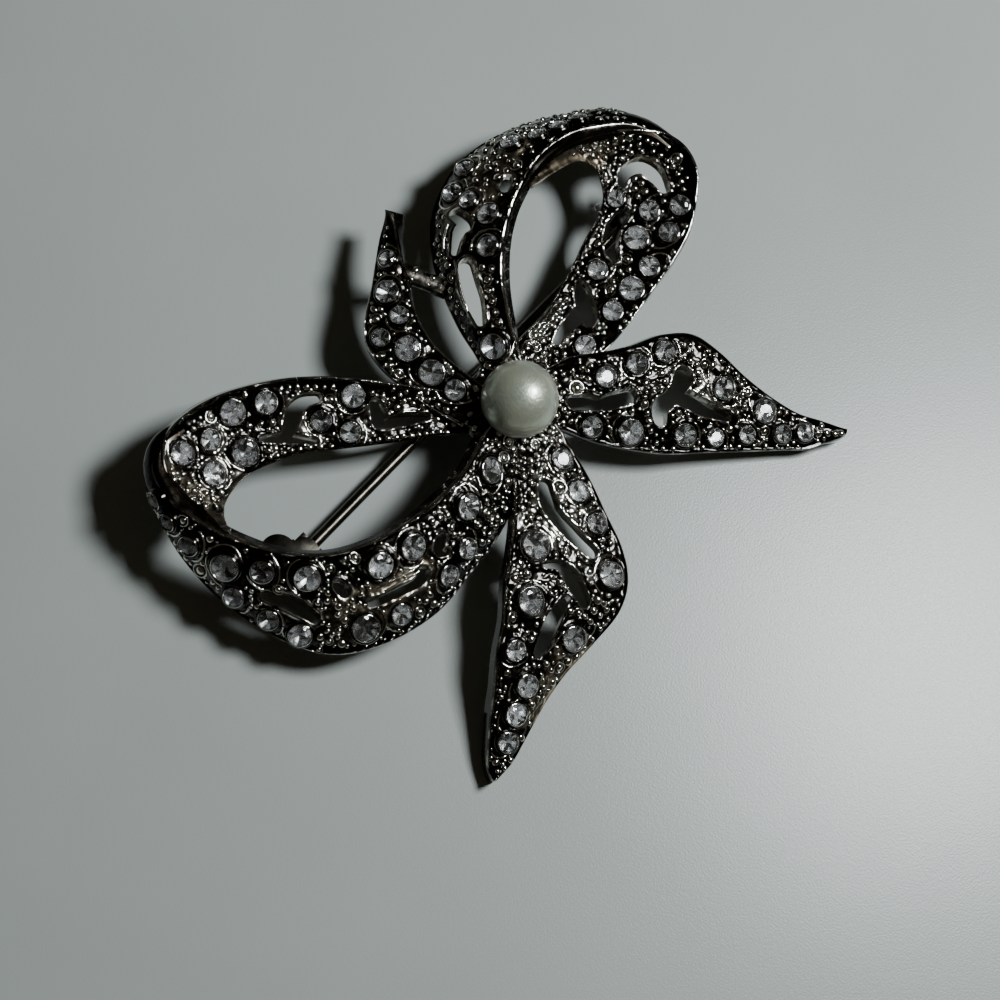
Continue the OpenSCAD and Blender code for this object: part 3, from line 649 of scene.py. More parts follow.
def link_piece(name: str, mesh: bpy.types.Mesh) -> Piece:
    """Links a new object with this mesh to the scene.

    Args:
        name: what the object is called.
        mesh: its mesh.

    Returns:
        The new object.
    """
    piece = bpy.data.objects.new(name, mesh)
    bpy.context.scene.collection.objects.link(piece)
    return piece


def drop_piece(piece: Piece) -> None:
    """Takes a helper object out of the file."""
    bpy.data.objects.remove(piece, do_unlink=True)


def baked_copy(piece: Piece, name: str) -> Piece:
    """Turns an object's evaluated shape into a plain mesh and drops the old object.

    Args:
        piece: Object with live modifiers.
        name: Name of the result.

    Returns:
        A new object with no modifiers.
    """
    depsgraph = bpy.context.evaluated_depsgraph_get()
    mesh = bpy.data.meshes.new_from_object(piece.evaluated_get(depsgraph), depsgraph=depsgraph)
    mesh.name = name
    drop_piece(piece)
    made = link_piece(name, mesh)
    made.name = name
    return made


def shade(piece: Piece, angle_deg: float) -> None:
    """Smooth shading, with edges sharper than an angle kept crisp.

    Args:
        piece: the object to shade.
        angle_deg: the angle from which an edge stays crisp.
    """
    mesh = piece.data
    mesh.polygons.foreach_set("use_smooth", np.ones(len(mesh.polygons), bool))
    mesh.set_sharp_from_angle(angle=math.radians(angle_deg))
    mesh.update()


def dress(piece: Piece, finish: Material, angle_deg: float) -> Piece:
    """Gives a piece its one material and its shading, and returns it.

    Args:
        piece: the object to dress.
        finish: its material.
        angle_deg: as for shade.

    Returns:
        The same object.
    """
    piece.data.materials.clear()
    piece.data.materials.append(finish)
    shade(piece, angle_deg)
    return piece


def lathe(profile: list[tuple[float, float]], sides: int) -> tuple[Array, list[Face]]:
    """Turns a profile round Z into a closed shell.

    Args:
        profile: Radius and height of each point, from one end on the axis, or round a closed ring.
        sides: Sides round the turn.

    Returns:
        Points and faces of the shell.
    """
    ring = np.c_[on_circle(np.arange(sides) * 2 * math.pi / sides), np.zeros(sides)]
    points = np.concatenate([ring * r + (0, 0, z) for r, z in profile])
    closed = profile[0][0] > 1e-6 and profile[-1][0] > 1e-6
    return weld(points, side_faces(len(profile), sides, closed))


def side_faces(rings: int, sides: int, closed: bool = False) -> list[Face]:
    """Faces that join each ring of points to the next.

    Args:
        rings: Number of rings.
        sides: Points in each.
        closed: Whether the last ring is joined to the first.

    Returns:
        Vertex numbers of each face.
    """
    grid = np.arange(rings * sides).reshape(rings, sides)
    ahead = np.roll(grid, -1, axis=0)
    quads = np.stack([grid, np.roll(grid, -1, axis=1), np.roll(ahead, -1, axis=1), ahead], axis=-1)
    return list(map(tuple, quads[: rings if closed else -1].reshape(-1, 4).tolist()))


def end_faces(rings: int, sides: int) -> list[Face]:
    """Faces that close the first and the last ring of points."""
    return [tuple(range(sides))[::-1], tuple(range((rings - 1) * sides, rings * sides))]


def weld(points: Array, faces: list[Face]) -> tuple[Array, list[Face]]:
    """Merges points that share a place, and drops what closes up.

    Args:
        points: Vertices, one a row.
        faces: Vertex numbers of each face.

    Returns:
        The merged points and faces.
    """
    keys, index = np.unique(np.round(points, 6), axis=0, return_inverse=True)
    index = index.ravel()
    merged: list[Face] = []
    for f in faces:
        loop = [int(index[i]) for i in f]
        kept = tuple(v for n, v in enumerate(loop) if v != loop[n - 1])
        if len(kept) > 2:
            merged.append(kept)
    return keys, merged


def placed(points: Array, axes: Array, origin: Array) -> Array:
    """Points of a local drawing, set on axes at an origin."""
    return points @ axes + origin


# node trees


class TreeMaker:
    """Short calls for filling a node tree."""

    def __init__(self, tree: Tree) -> None:
        """Keeps the tree.

        Args:
            tree: Node tree that gets the nodes.
        """
        self.tree = tree

    def node(self, kind: str, inputs: dict[str, object] | None = None, **props: object) -> bpy.types.Node:
        """Adds a node.

        Args:
            kind: Blender's type name of the node.
            inputs: A value or an output socket for each input, by name or number.
            props: Settings of the node.

        Returns:
            The new node.
        """
        node = self.tree.nodes.new(kind)
        for key, value in props.items():
            setattr(node, key, value)
        for key, value in (inputs or {}).items():
            socket = node.inputs[key]
            if isinstance(value, Socket):
                self.tree.links.new(value, socket)
            else:
                socket.default_value = value
        return node

    def maths(self, operation: str, a: object, b: object = 0.0, clamp: bool = False) -> Socket:
        """Adds a maths node and returns its output."""
        return self.node("ShaderNodeMath", {0: a, 1: b}, operation=operation, use_clamp=clamp).outputs[0]

    def mix(self, factor: object, a: object, b: object) -> Socket:
        """Adds a colour mix and returns its output."""
        return self.node("ShaderNodeMix", {0: factor, 6: a, 7: b}, data_type="RGBA").outputs[2]

    def spread(
        self, value: object, low: float, high: float, to_low: float, to_high: float, **props: str
    ) -> Socket:
        """Maps a value from one range to another and returns the output."""
        inputs = {0: value, 1: low, 2: high, 3: to_low, 4: to_high}
        return self.node("ShaderNodeMapRange", inputs, **props).outputs[0]

    def noise(self, place: object, scale: float, detail: float = 2.0, distortion: float = 0.0) -> Socket:
        """Adds a noise and returns its output."""
        inputs = {"Vector": place, "Scale": scale, "Detail": detail, "Distortion": distortion}
        return self.node("ShaderNodeTexNoise", inputs).outputs[0]

    def place(self) -> Socket:
        """Adds the piece's own coordinates and returns them."""
        return self.node("ShaderNodeTexCoord").outputs["Object"]

    def relief(self, height: object, strength: float, distance_m: float) -> Socket:
        """Adds a bump and returns the normal that it makes."""
        inputs = {"Strength": strength, "Distance": distance_m, "Height": height}
        return self.node("ShaderNodeBump", inputs).outputs[0]

    def dress(self, colour: object, rough: object, normal: object = None) -> None:
        """Links a colour, a roughness and a normal to the shader.

        Args:
            colour: socket of the base colour.
            rough: socket of the roughness.
            normal: socket of the normal, if there is one.
        """
        shader = self.tree.nodes["Principled BSDF"]
        for key, value in (("Base Color", colour), ("Roughness", rough), ("Normal", normal)):
            if value is not None:
                self.tree.links.new(value, shader.inputs[key])

    def end_shape(self, shape: object, material: object) -> None:
        """Ends a tree of shapes: its copies made real, then dressed.

        Args:
            shape: socket of the shapes.
            material: socket of their material.
        """
        real = self.node("GeometryNodeRealizeInstances", {"Geometry": shape})
        done = self.node("GeometryNodeSetMaterial", {"Geometry": real.outputs[0], "Material": material})
        self.node("NodeGroupOutput", {"Geometry": done.outputs[0]})


def new_tree(name: str, kind: str, ins: dict[str, object], outs: dict[str, str]) -> Tree:
    """Starts a node group with its named inputs and outputs.

    Args:
        name: Name of the group.
        kind: Kind of tree, Geometry or Shader.
        ins: Socket type of each input, or its value where it is a number.
        outs: Socket type of each output.

    Returns:
        The group, with nothing in it yet.
    """
    tree = bpy.data.node_groups.new(name, f"{kind}NodeTree")
    for key, value in ins.items():
        named = value if isinstance(value, str) else type(value).__name__.capitalize()
        socket = tree.interface.new_socket(name=key, in_out="INPUT", socket_type=f"NodeSocket{named}")
        if not isinstance(value, str):
            socket.default_value = value
    for key, value in outs.items():
        tree.interface.new_socket(name=key, in_out="OUTPUT", socket_type=f"NodeSocket{value}")
    return tree


def run_tree(piece: Piece, tree: Tree, values: dict[str, object], name: str) -> Piece:
    """Runs a Geometry Nodes tree on an object and keeps the result as a plain mesh.

    Args:
        piece: Object that carries the points or paths. It is dropped.
        tree: The tree.
        values: A value for each named input.
        name: Name of the result.

    Returns:
        A new object with no modifiers.
    """
    modifier = piece.modifiers.new("tree", "NODES")
    modifier.node_group = tree
    for item in tree.interface.items_tree:
        if item.item_type == "SOCKET" and item.in_out == "INPUT" and item.name in values:
            modifier[item.identifier] = values[item.name]
    return baked_copy(piece, name)


def seating_tree() -> Tree:
    """Tree that seats a copy of one shape on each point, stood on the point's normal.

    Returns:
        The tree, with inputs Geometry, Shape and Finish.
    """
    tree = new_tree(
        "seat_on_points", "Geometry", {"Geometry": "Geometry", "Shape": "Object", "Finish": "Material"},
        {"Geometry": "Geometry"},
    )
    make = TreeMaker(tree)
    start = make.node("NodeGroupInput")
    shape = make.node("GeometryNodeObjectInfo", {"Object": start.outputs["Shape"], "As Instance": True})
    stand = make.node("GeometryNodeInputNamedAttribute", {"Name": "stand"}, data_type="FLOAT_VECTOR")
    size = make.node("GeometryNodeInputNamedAttribute", {"Name": "size"}, data_type="FLOAT_VECTOR")
    rotation = make.node("FunctionNodeAlignRotationToVector", {"Vector": stand.outputs[0]}, axis="Z")
    seated = make.node(
        "GeometryNodeInstanceOnPoints",
        {
            "Points": start.outputs["Geometry"], "Instance": shape.outputs["Geometry"],
            "Rotation": rotation.outputs[0], "Scale": size.outputs[0],
        },
    )
    make.end_shape(seated.outputs[0], start.outputs["Finish"])
    return tree


def wire_tree() -> Tree:
    """Tree that lays a round wire along each path of edges.

    Returns:
        The tree, with inputs Geometry, Sides and Finish.
    """
    tree = new_tree(
        "wire_on_paths", "Geometry", {"Geometry": "Geometry", "Sides": 6, "Finish": "Material"},
        {"Geometry": "Geometry"},
    )
    make = TreeMaker(tree)
    start = make.node("NodeGroupInput")
    radius = make.node("GeometryNodeInputNamedAttribute", {"Name": "wire"}, data_type="FLOAT")
    path = make.node("GeometryNodeMeshToCurve", {"Mesh": start.outputs["Geometry"]})
    ring = make.node("GeometryNodeCurvePrimitiveCircle", {"Resolution": start.outputs["Sides"], "Radius": MM})
    tube = make.node(
        "GeometryNodeCurveToMesh",
        {
            "Curve": path.outputs[0], "Profile Curve": ring.outputs[0], "Scale": radius.outputs[0],
            "Fill Caps": True,
        },
    )
    make.end_shape(tube.outputs[0], start.outputs["Finish"])
    return tree


def point_cloud(name: str, points: Array, stands: Array, sizes: Array, place: Array) -> Piece:
    """Points for the seating tree.

    Args:
        name: Name of the helper object.
        points: Places in millimetres.
        stands: Direction that each copy stands in.
        sizes: Scale of each copy along its three axes.
        place: Shift to the part's frame, in millimetres.

    Returns:
        A helper object with loose vertices.
    """
    mesh = bpy.data.meshes.new(name)
    mesh.from_pydata(((points + place) * MM).tolist(), [], [])
    for key, values in (("stand", stands), ("size", sizes)):
        mesh.attributes.new(key, "FLOAT_VECTOR", "POINT").data.foreach_set(
            "vector", np.asarray(values, np.float32).ravel()
        )
    return link_piece(name, mesh)


def path_cloud(name: str, paths: list[tuple[Array, Array]], place: Array) -> Piece:
    """Paths for the wire tree.

    Args:
        name: Name of the helper object.
        paths: Points in millimetres and the wire's radius at each, for each path.
        place: Shift to the part's frame, in millimetres.

    Returns:
        A helper object of loose edges.
    """
    points = np.concatenate([p for p, _ in paths]) + place
    radii = np.concatenate([r for _, r in paths])
    edges, count = [], 0
    for p, _ in paths:
        edges += [(count + i, count + i + 1) for i in range(len(p) - 1)]
        count += len(p)
    mesh = bpy.data.meshes.new(name)
    mesh.from_pydata((points * MM).tolist(), edges, [])
    mesh.attributes.new("wire", "FLOAT", "POINT").data.foreach_set("value", radii.astype(np.float32))
    return link_piece(name, mesh)


# shared shader groups


def patina_group() -> Tree:
    """Antique plating: black in the recesses and where shade is painted in, brown in patches and bright where
    it wears.

    Returns:
        A group with inputs Wear, Brown, Grain, Rough, Dark, Bright and Tint, and outputs Color, Roughness and
        Height.
    """
    numbers = {"Wear": 0.5, "Brown": 0.0, "Grain": 1.0, "Rough": 0.3}
    colours = {"Dark": "Color", "Bright": "Color", "Tint": "Color"}
    outs = {"Color": "Color", "Roughness": "Float", "Height": "Float"}
    tree = new_tree("antique_patina", "Shader", numbers | colours, outs)
    make = TreeMaker(tree)
    given = make.node("NodeGroupInput").outputs
    place = make.place()
    patches, grain = make.noise(place, 900.0, 3.0), make.noise(place, 5200.0)
    pits = make.node("ShaderNodeTexVoronoi", {"Vector": place, "Scale": 3600.0}, feature="F1")
    worn = make.maths("ADD", given["Wear"], make.spread(patches, 0.3, 0.7, -0.18, 0.18))
    worn = make.maths("ADD", worn, make.spread(grain, 0.3, 0.7, -0.07, 0.07), clamp=True)
    curve = make.spread(worn, 0.16, 0.8, 0.0, 1.0, interpolation_type="SMOOTHSTEP")
    metal = make.mix(curve, given["Dark"], given["Bright"])
    brown = make.maths("MULTIPLY", given["Brown"], make.spread(patches, 0.35, 0.6, 0.25, 1.0))
    colour = make.mix(brown, metal, given["Tint"])
    rough = make.maths("ADD", make.spread(curve, 0.0, 1.0, 0.12, 0.0), given["Rough"])
    rough = make.maths("ADD", rough, make.maths("MULTIPLY", brown, 0.3))
    rough = make.maths("ADD", rough, make.spread(patches, 0.3, 0.7, -0.05, 0.06), clamp=True)
    pit = make.spread(pits.outputs["Distance"], 0.0, 0.5, -0.35, 0.0)
    height = make.maths("ADD", make.maths("MULTIPLY", grain, 0.6), pit)
    height = make.maths("MULTIPLY", height, given["Grain"])
    make.node("NodeGroupOutput", {"Color": colour, "Roughness": rough, "Height": height})
    return tree


def scratch_group() -> Tree:
    """Fine scratches and handling marks that run along X.

    Returns:
        A group with inputs Amount and Pitch, and outputs Mask and Height.
    """
    outs = {"Mask": "Float", "Height": "Float"}
    tree = new_tree("fine_scratches", "Shader", {"Amount": 1.0, "Pitch": 1.0}, outs)
    make = TreeMaker(tree)
    given = make.node("NodeGroupInput").outputs
    place = make.place()
    stretch = make.node("ShaderNodeMapping", {"Vector": place, "Scale": (260.0, 9000.0, 9000.0)})
    drawn, marks = make.noise(stretch.outputs[0], 1.0, 3.0), make.noise(place, 1500.0, 4.0)
    mask = make.maths("MULTIPLY", make.spread(marks, 0.5, 0.62, 0.0, 1.0), given["Amount"])
    make.node("NodeGroupOutput", {"Mask": mask, "Height": make.maths("MULTIPLY", drawn, given["Pitch"])})
    return tree


def new_finish(name: str, colour: Row, values: dict[str, float]) -> tuple[Material, TreeMaker]:
    """Starts a material on the usual shader.

    Args:
        name: Name of the material.
        colour: Its colour in a plain view.
        values: What is the same all over the surface, by the shader's input.

    Returns:
        The material, and the maker of its nodes.
    """
    material = bpy.data.materials.new(name)
    material.use_nodes = True
    material.diffuse_color = colour
    shader = material.node_tree.nodes["Principled BSDF"]
    for key, value in values.items():
        shader.inputs[key].default_value = value
    return material, TreeMaker(material.node_tree)


@dataclass(frozen=True)
class CastFinish:
    """Antiqued plating of the casting."""

    name: str = "antiqued_casting"
    # dark is the black of the recesses, and also the colour of painted shade.
    dark: Row = (0.006, 0.005, 0.0035, 1)
    bright: Row = (0.8, 0.785, 0.72, 1)
    tint: Row = (0.2, 0.165, 0.115, 1)
    rough: float = 0.12
    lacquer: float = 0.6
    bump_m: float = 0.00003

    def make(self, patina: Tree) -> Material:
        """Builds the material, which reads each vertex's patina from the shared group.

        Args:
            patina: the shared group of the worn plating.

        Returns:
            The cast metal.
        """
        values = {"Metallic": 1.0, "Coat Weight": self.lacquer, "Coat Roughness": 0.1}
        material, make = new_finish(self.name, self.bright, values)
        mask = make.node("ShaderNodeAttribute", attribute_name=PATINA)
        # The first share of the patina darkens the plating for recesses and for painted shade.
        wear_and_shade, brown, polish = make.node("ShaderNodeSeparateColor", {0: mask.outputs["Color"]}).outputs
        colours = {"Dark": self.dark, "Bright": self.bright, "Tint": self.tint}
        inputs = {"Wear": wear_and_shade, "Brown": brown, "Rough": self.rough} | colours
        worn = make.node("ShaderNodeGroup", inputs, node_tree=patina).outputs
        rough = make.maths("ADD", worn["Roughness"], make.maths("MULTIPLY", polish, -0.1), clamp=True)
        make.dress(worn["Color"], rough, make.relief(worn["Height"], 0.5, self.bump_m))
        return material


@dataclass(frozen=True)
class SteelFinish:
    """Drawn or stamped steel of the pin and the findings."""

    name: str
    colour: Row
    dull: Row
    rough: float
    grain: float = 0.3
    marks: float = 0.5
    pitch: float = 0.6
    bump_m: float = 0.00002

    def make(self, patina: Tree, scratches: Tree) -> Material:
        """Builds the material from the two shared groups.

        Args:
            patina: the group of the worn plating.
            scratches: the group of fine scratches.

        Returns:
            The steel.
        """
        material, make = new_finish(self.name, self.colour, {"Metallic": 1.0})
        inputs = {"Dark": self.dull, "Bright": self.colour, "Tint": self.dull}
        inputs |= {"Rough": self.rough, "Grain": self.grain}
        worn = make.node("ShaderNodeGroup", inputs, node_tree=patina).outputs
        inputs = {"Amount": self.marks, "Pitch": self.pitch}
        marks = make.node("ShaderNodeGroup", inputs, node_tree=scratches).outputs
        height = make.maths("ADD", worn["Height"], marks["Height"])
        colour = make.mix(marks["Mask"], worn["Color"], self.dull)
        make.dress(colour, worn["Roughness"], make.relief(height, 0.4, self.bump_m))
        return material


@dataclass(frozen=True)
class CrystalFinish:
    """Clear glass of the cut stones."""

    name: str = "clear_crystal"
    colour: Row = (0.93, 0.96, 0.98, 1)
    smeared: Row = (0.8, 0.82, 0.82, 1)
    ior: float = 1.56

    def make(self) -> Material:
        """Builds the material, with faint smears that break up its polish.

        Returns:
            The clear stone.
        """
        material, make = new_finish(self.name, self.colour, {"Transmission Weight": 1.0, "IOR": self.ior})
        smears = make.noise(make.place(), 1300.0, 3.0)
        tone = make.mix(make.spread(smears, 0.35, 0.7, 0.0, 1.0), self.colour, self.smeared)
        make.dress(tone, make.spread(smears, 0.4, 0.75, 0.01, 0.09))
        return material


@dataclass(frozen=True)
class FoilFinish:
    """Silvered foil on the back of the stones."""

    name: str = "stone_foil"
    colour: Row = (0.86, 0.87, 0.88, 1)
    # dark is the foil's colour in old patches and where shade is painted onto facets.
    dark: Row = (0.06, 0.058, 0.05, 1)
    metallic: float = 0.79

    def make(self) -> Material:
        """Builds the material: silver, with darker patches of old foil that also stand in for the dark
        reflections of the facets, and with painted shade on single facets.

        Returns:
            The foil.
        """
        material, make = new_finish(self.name, self.colour, {"Metallic": self.metallic})
        aged_and_shaded = make.noise(make.place(), 2300.0, 3.0, 1.3)
        # Painted shade: single facets are darkened, in place of the dark reflections that they would show.
        facet = make.node("ShaderNodeAttribute", attribute_name=FACET_SHADE)
        worn = make.maths("ADD", make.spread(aged_and_shaded, 0.45, 0.6, 0.0, 0.5), facet.outputs["Fac"], clamp=True)
        make.dress(make.mix(worn, self.colour, self.dark), make.spread(aged_and_shaded, 0.4, 0.7, 0.13, 0.25))
        return material


@dataclass(frozen=True)
class PearlFinish:
    """Cream nacre with a soft lustre and a faintly grainy skin."""

    name: str = "pearl_nacre"
    colour: Row = (0.56, 0.6, 0.46, 1)
    cool: Row = (0.4, 0.47, 0.41, 1)
    warm: Row = (0.42, 0.38, 0.26, 1)
    # rim is the colour of the painted sheen towards the edge of the view.
    rim: Row = (0.66, 0.65, 0.54, 1)
    bump_m: float = 0.00003

    def make(self) -> Material:
        """Builds the material: clouds and stains, and a painted sheen that pales the colour towards the rim.

        Returns:
            The pearl's skin.
        """
        values = {
            "Metallic": 0.6, "Subsurface Weight": 0.1, "Subsurface Scale": 0.0012, "Specular IOR Level": 0.8,
            "Coat Weight": 1.0, "Coat Roughness": 0.15,
        }
        material, make = new_finish(self.name, self.colour, values)
        place = make.place()
        clouds, stains = make.noise(place, 260.0, 3.0), make.noise(place, 190.0, 2.0, 0.6)
        skin = make.noise(place, 4200.0)
        # Painted sheen: the colour pales where the skin turns edge-on to the view.
        edge = make.node("ShaderNodeLayerWeight", {"Blend": 0.35}).outputs["Facing"]
        tone = make.mix(make.spread(clouds, 0.35, 0.65, 0.0, 1.0), self.colour, self.cool)
        tone = make.mix(make.spread(stains, 0.5, 0.7, 0.0, 0.5), tone, self.warm)
        tone = make.mix(make.maths("MULTIPLY", edge, 0.5), tone, self.rim)
        make.dress(tone, make.spread(skin, 0.3, 0.7, 0.28, 0.42), make.relief(skin, 0.8, self.bump_m))
        return material


@dataclass(frozen=True)
class FloorFinish:
    """Pale matte paint of the surface under the brooch."""

    name: str = "pale_surface"
    colour: Row = (0.395, 0.435, 0.42, 1)
    mottled: float = 0.95
    bump_m: float = 0.00002

    def make(self) -> Material:
        """Builds the material, with a faint mottle and fine grain.

        Returns:
            The painted floor.
        """
        material, make = new_finish(self.name, self.colour, {"Specular IOR Level": 0.22})
        place = make.place()
        mottle, grain = make.noise(place, 60.0, 3.0), make.noise(place, 5200.0)
        low = tuple(c * self.mottled for c in self.colour[:3]) + (1.0,)
        tone = make.mix(make.spread(mottle, 0.3, 0.7, 0.0, 1.0), self.colour, low)
        make.dress(tone, make.spread(grain, 0.3, 0.7, 0.19, 0.25), make.relief(grain, 0.5, self.bump_m))
        return material


@dataclass
class Finishes:
    """Every material of the brooch, built once."""

    cast: Material
    pin: Material
    finding: Material
    crystal: Material
    foil: Material
    pearl: Material

    @classmethod
    def build(cls) -> Finishes:
        """Builds the shared groups and the materials that use them.

        Returns:
            Every finish of the brooch.
        """
        patina, scratches = patina_group(), scratch_group()
        pin = SteelFinish("drawn_steel", (0.15, 0.14, 0.115, 1), (0.03, 0.027, 0.021, 1), 0.2)
        finding = SteelFinish("stamped_steel", (0.06, 0.056, 0.047, 1), (0.014, 0.012, 0.01, 1), 0.24)
        return cls(
            cast=CastFinish().make(patina),
            pin=pin.make(patina, scratches),
            finding=finding.make(patina, scratches),
            crystal=CrystalFinish().make(),
            foil=FoilFinish().make(),
            pearl=PearlFinish().make(),
        )


# the ribbons' surface


class RibbonSurface:
    """Face of one ribbon, worked out from its rows."""

    def __init__(self, plan: RibbonPlan, sizes: BowSizes) -> None:
        """Scales the rows.

        Args:
            plan: The ribbon's tables.
            sizes: Sizes of the brooch.
        """
        self.plan = plan
        self.sizes = sizes
        scale = np.array([sizes.bow_w, sizes.bow_l, sizes.bow_h] * 2) / 100
        rows = np.array(plan.rows, float) * scale
        self.last = len(rows) - 1
        self.rows = with_ends(rows)

    def row(self, s: Array) -> Array:
        """Rim and hem places at some sections, six numbers a row."""
        return run_through(self.rows, s)

    def width(self, s: Array) -> Array:
        """Width of the ribbon at some sections, in millimetres."""
        row = self.row(s)
        return np.linalg.norm(row[:, 3:] - row[:, :3], axis=1)

    def face(self, s: Array, t: Array) -> tuple[Array, Array]:
        """Points and normals of the face.

        Args:
            s: Sections along the ribbon.
            t: Shares across it, from the rim.

        Returns:
            Points in millimetres round the knot, and normals that look up.
        """
        row = self.row(s)
        step = self.row(np.minimum(s + 0.05, self.last)) - self.row(np.maximum(s - 0.05, 0))
        share = t[:, None]
        along = step[:, :3] * (1 - share) + step[:, 3:] * share
        normal = unit(np.cross(along, row[:, 3:] - row[:, :3]))
        normal[normal[:, 2] < 0] *= -1
        point = row[:, :3] * (1 - share) + row[:, 3:] * share
        return point + normal * (self.plan.swell * 4 * share * (1 - share)), normal

    def place(self, s: float, t: float) -> tuple[Array, Array]:
        """Point and normal at one place."""
        point, normal = self.face(np.array([s]), np.array([t]))
        return point[0], normal[0]

    def walk(self, s: float, t: float, offsets: Array) -> tuple[Array, Array]:
        """Sections and shares at flat offsets from one place.

        Args:
            s: Section of the place.
            t: Share of the place.
            offsets: Offsets along and across the ribbon, in millimetres.

        Returns:
            The sections and the shares.
        """
        here, _ = self.place(s, t)
        ahead, _ = self.place(s + 0.05, t)
        aside, _ = self.place(s, min(t + 0.02, 1.0))
        per_s = np.linalg.norm(ahead - here) / 0.05
        per_t = max(np.linalg.norm(aside - here) / 0.02, 1e-6)
        return s + offsets[:, 0] / per_s, t + offsets[:, 1] / per_t


@dataclass(frozen=True)
class SetStone:
    """One stone in its cup: its radius, its seat on the ribbon's face and its normal."""

    ribbon: str
    size: StoneSize
    section: float
    share: float
    point: Array
    normal: Array


@dataclass
class WindowField:
    """The pierced windows, seen from above, as channels between round spots."""

    starts: Array
    ends: Array
    start_r: Array
    end_r: Array
    reach: Row = (-1.0, 13.0)
    tone: Row = (0.3, 0.35, 0.4)

    @classmethod
    def of(cls, surfaces: list[RibbonSurface]) -> WindowField:
        """Gathers the windows of all ribbons.

        Args:
            surfaces: Surfaces of the ribbons.

        Returns:
            The field of channels.
        """
        runs = [
            smoothed(np.array([[*surface.place(s, t)[0][:2], r] for s, t, r in spots]), 4)
            for surface in surfaces
            for spots in surface.plan.windows
        ]
        starts, ends = np.concatenate([run[:-1] for run in runs]), np.concatenate([run[1:] for run in runs])
        return cls(starts[:, :2], ends[:, :2], starts[:, 2], ends[:, 2])

    def distance(self, points: Array) -> Array:
        """Distance from the nearest window's edge, below zero inside it.

        Args:
            points: Places in millimetres; only x and y count.

        Returns:
            The distance in millimetres, for each place.
        """
        nearest = np.full(len(points), 1e9)
        for a, b, ra, rb in zip(self.starts, self.ends, self.start_r, self.end_r):
            along = b - a
            share = np.clip(((points[:, :2] - a) @ along) / max(along @ along, 1e-9), 0, 1)
            away = np.linalg.norm(points[:, :2] - a - share[:, None] * along, axis=1)
            nearest = np.minimum(nearest, away - (ra + (rb - ra) * share))
        return nearest

    def cutters(self, place: Array) -> bpy.types.Collection:
        """Upright prisms for the cuts.

        Args:
            place: Shift to the part's frame, in millimetres.

        Returns:
            A collection of helper objects.
        """
        collection = bpy.data.collections.new("window_cutters")
        bpy.context.scene.collection.children.link(collection)
        ring = on_circle(np.arange(24) * 2 * math.pi / 24)
        for k, (a, b, ra, rb) in enumerate(zip(self.starts, self.ends, self.start_r, self.end_r)):
            outline = convex_outline(np.concatenate([a + ring * ra, b + ring * rb])) + place[:2]
            n = len(outline)
            points = np.concatenate([np.c_[outline, np.full(n, z)] for z in self.reach])
            faces = end_faces(2, n) + side_faces(2, n)
            draft = MeshDraft()
            draft.add(points, faces, self.tone)
            cutter = draft.build(f"window_cutter_{k}")
            bpy.context.scene.collection.objects.unlink(cutter)
            collection.objects.link(cutter)
        return collection


def convex_outline(points: Array) -> Array:
    """Convex outline of flat points, anticlockwise.

    Args:
        points: Flat points, one a row.

    Returns:
        The outline's corners in order.
    """
    ordered = sorted(map(tuple, np.round(points, 6)))

    def half(run: list[tuple[float, float]]) -> list[tuple[float, float]]:
        """One half of the outline, from one end of the run to the other.

        Args:
            run: the points in the order they are passed.

        Returns:
            The points of that half.
        """
        chain: list[tuple[float, float]] = []
        for p in run:
            while len(chain) > 1:
                (ax, ay), (bx, by) = chain[-2], chain[-1]
                if (bx - ax) * (p[1] - ay) - (by - ay) * (p[0] - ax) > 1e-9:
                    break
                chain.pop()
            chain.append(p)
        return chain

    return np.array(half(ordered)[:-1] + half(ordered[::-1])[:-1])


# the casting


@dataclass
class Ornament:
    """Beads and wires of one ribbon, in millimetres round the knot."""

    centres: list[Array] = field(default_factory=list)
    normals: list[Array] = field(default_factory=list)
    radii: list[float] = field(default_factory=list)
    kinds: list[BeadKind] = field(default_factory=list)
    paths: list[tuple[Array, Array]] = field(default_factory=list)

    def add(self, centre: Array, normal: Array, radius: float, kind: BeadKind) -> None:
        """Adds one bead.

        Args:
            centre: its middle, in mm.
            normal: the way that its face looks.
            radius: its radius, in mm.
            kind: plain or ringed.
        """
        self.centres.append(centre)
        self.normals.append(normal)
        self.radii.append(radius)
        self.kinds.append(kind)


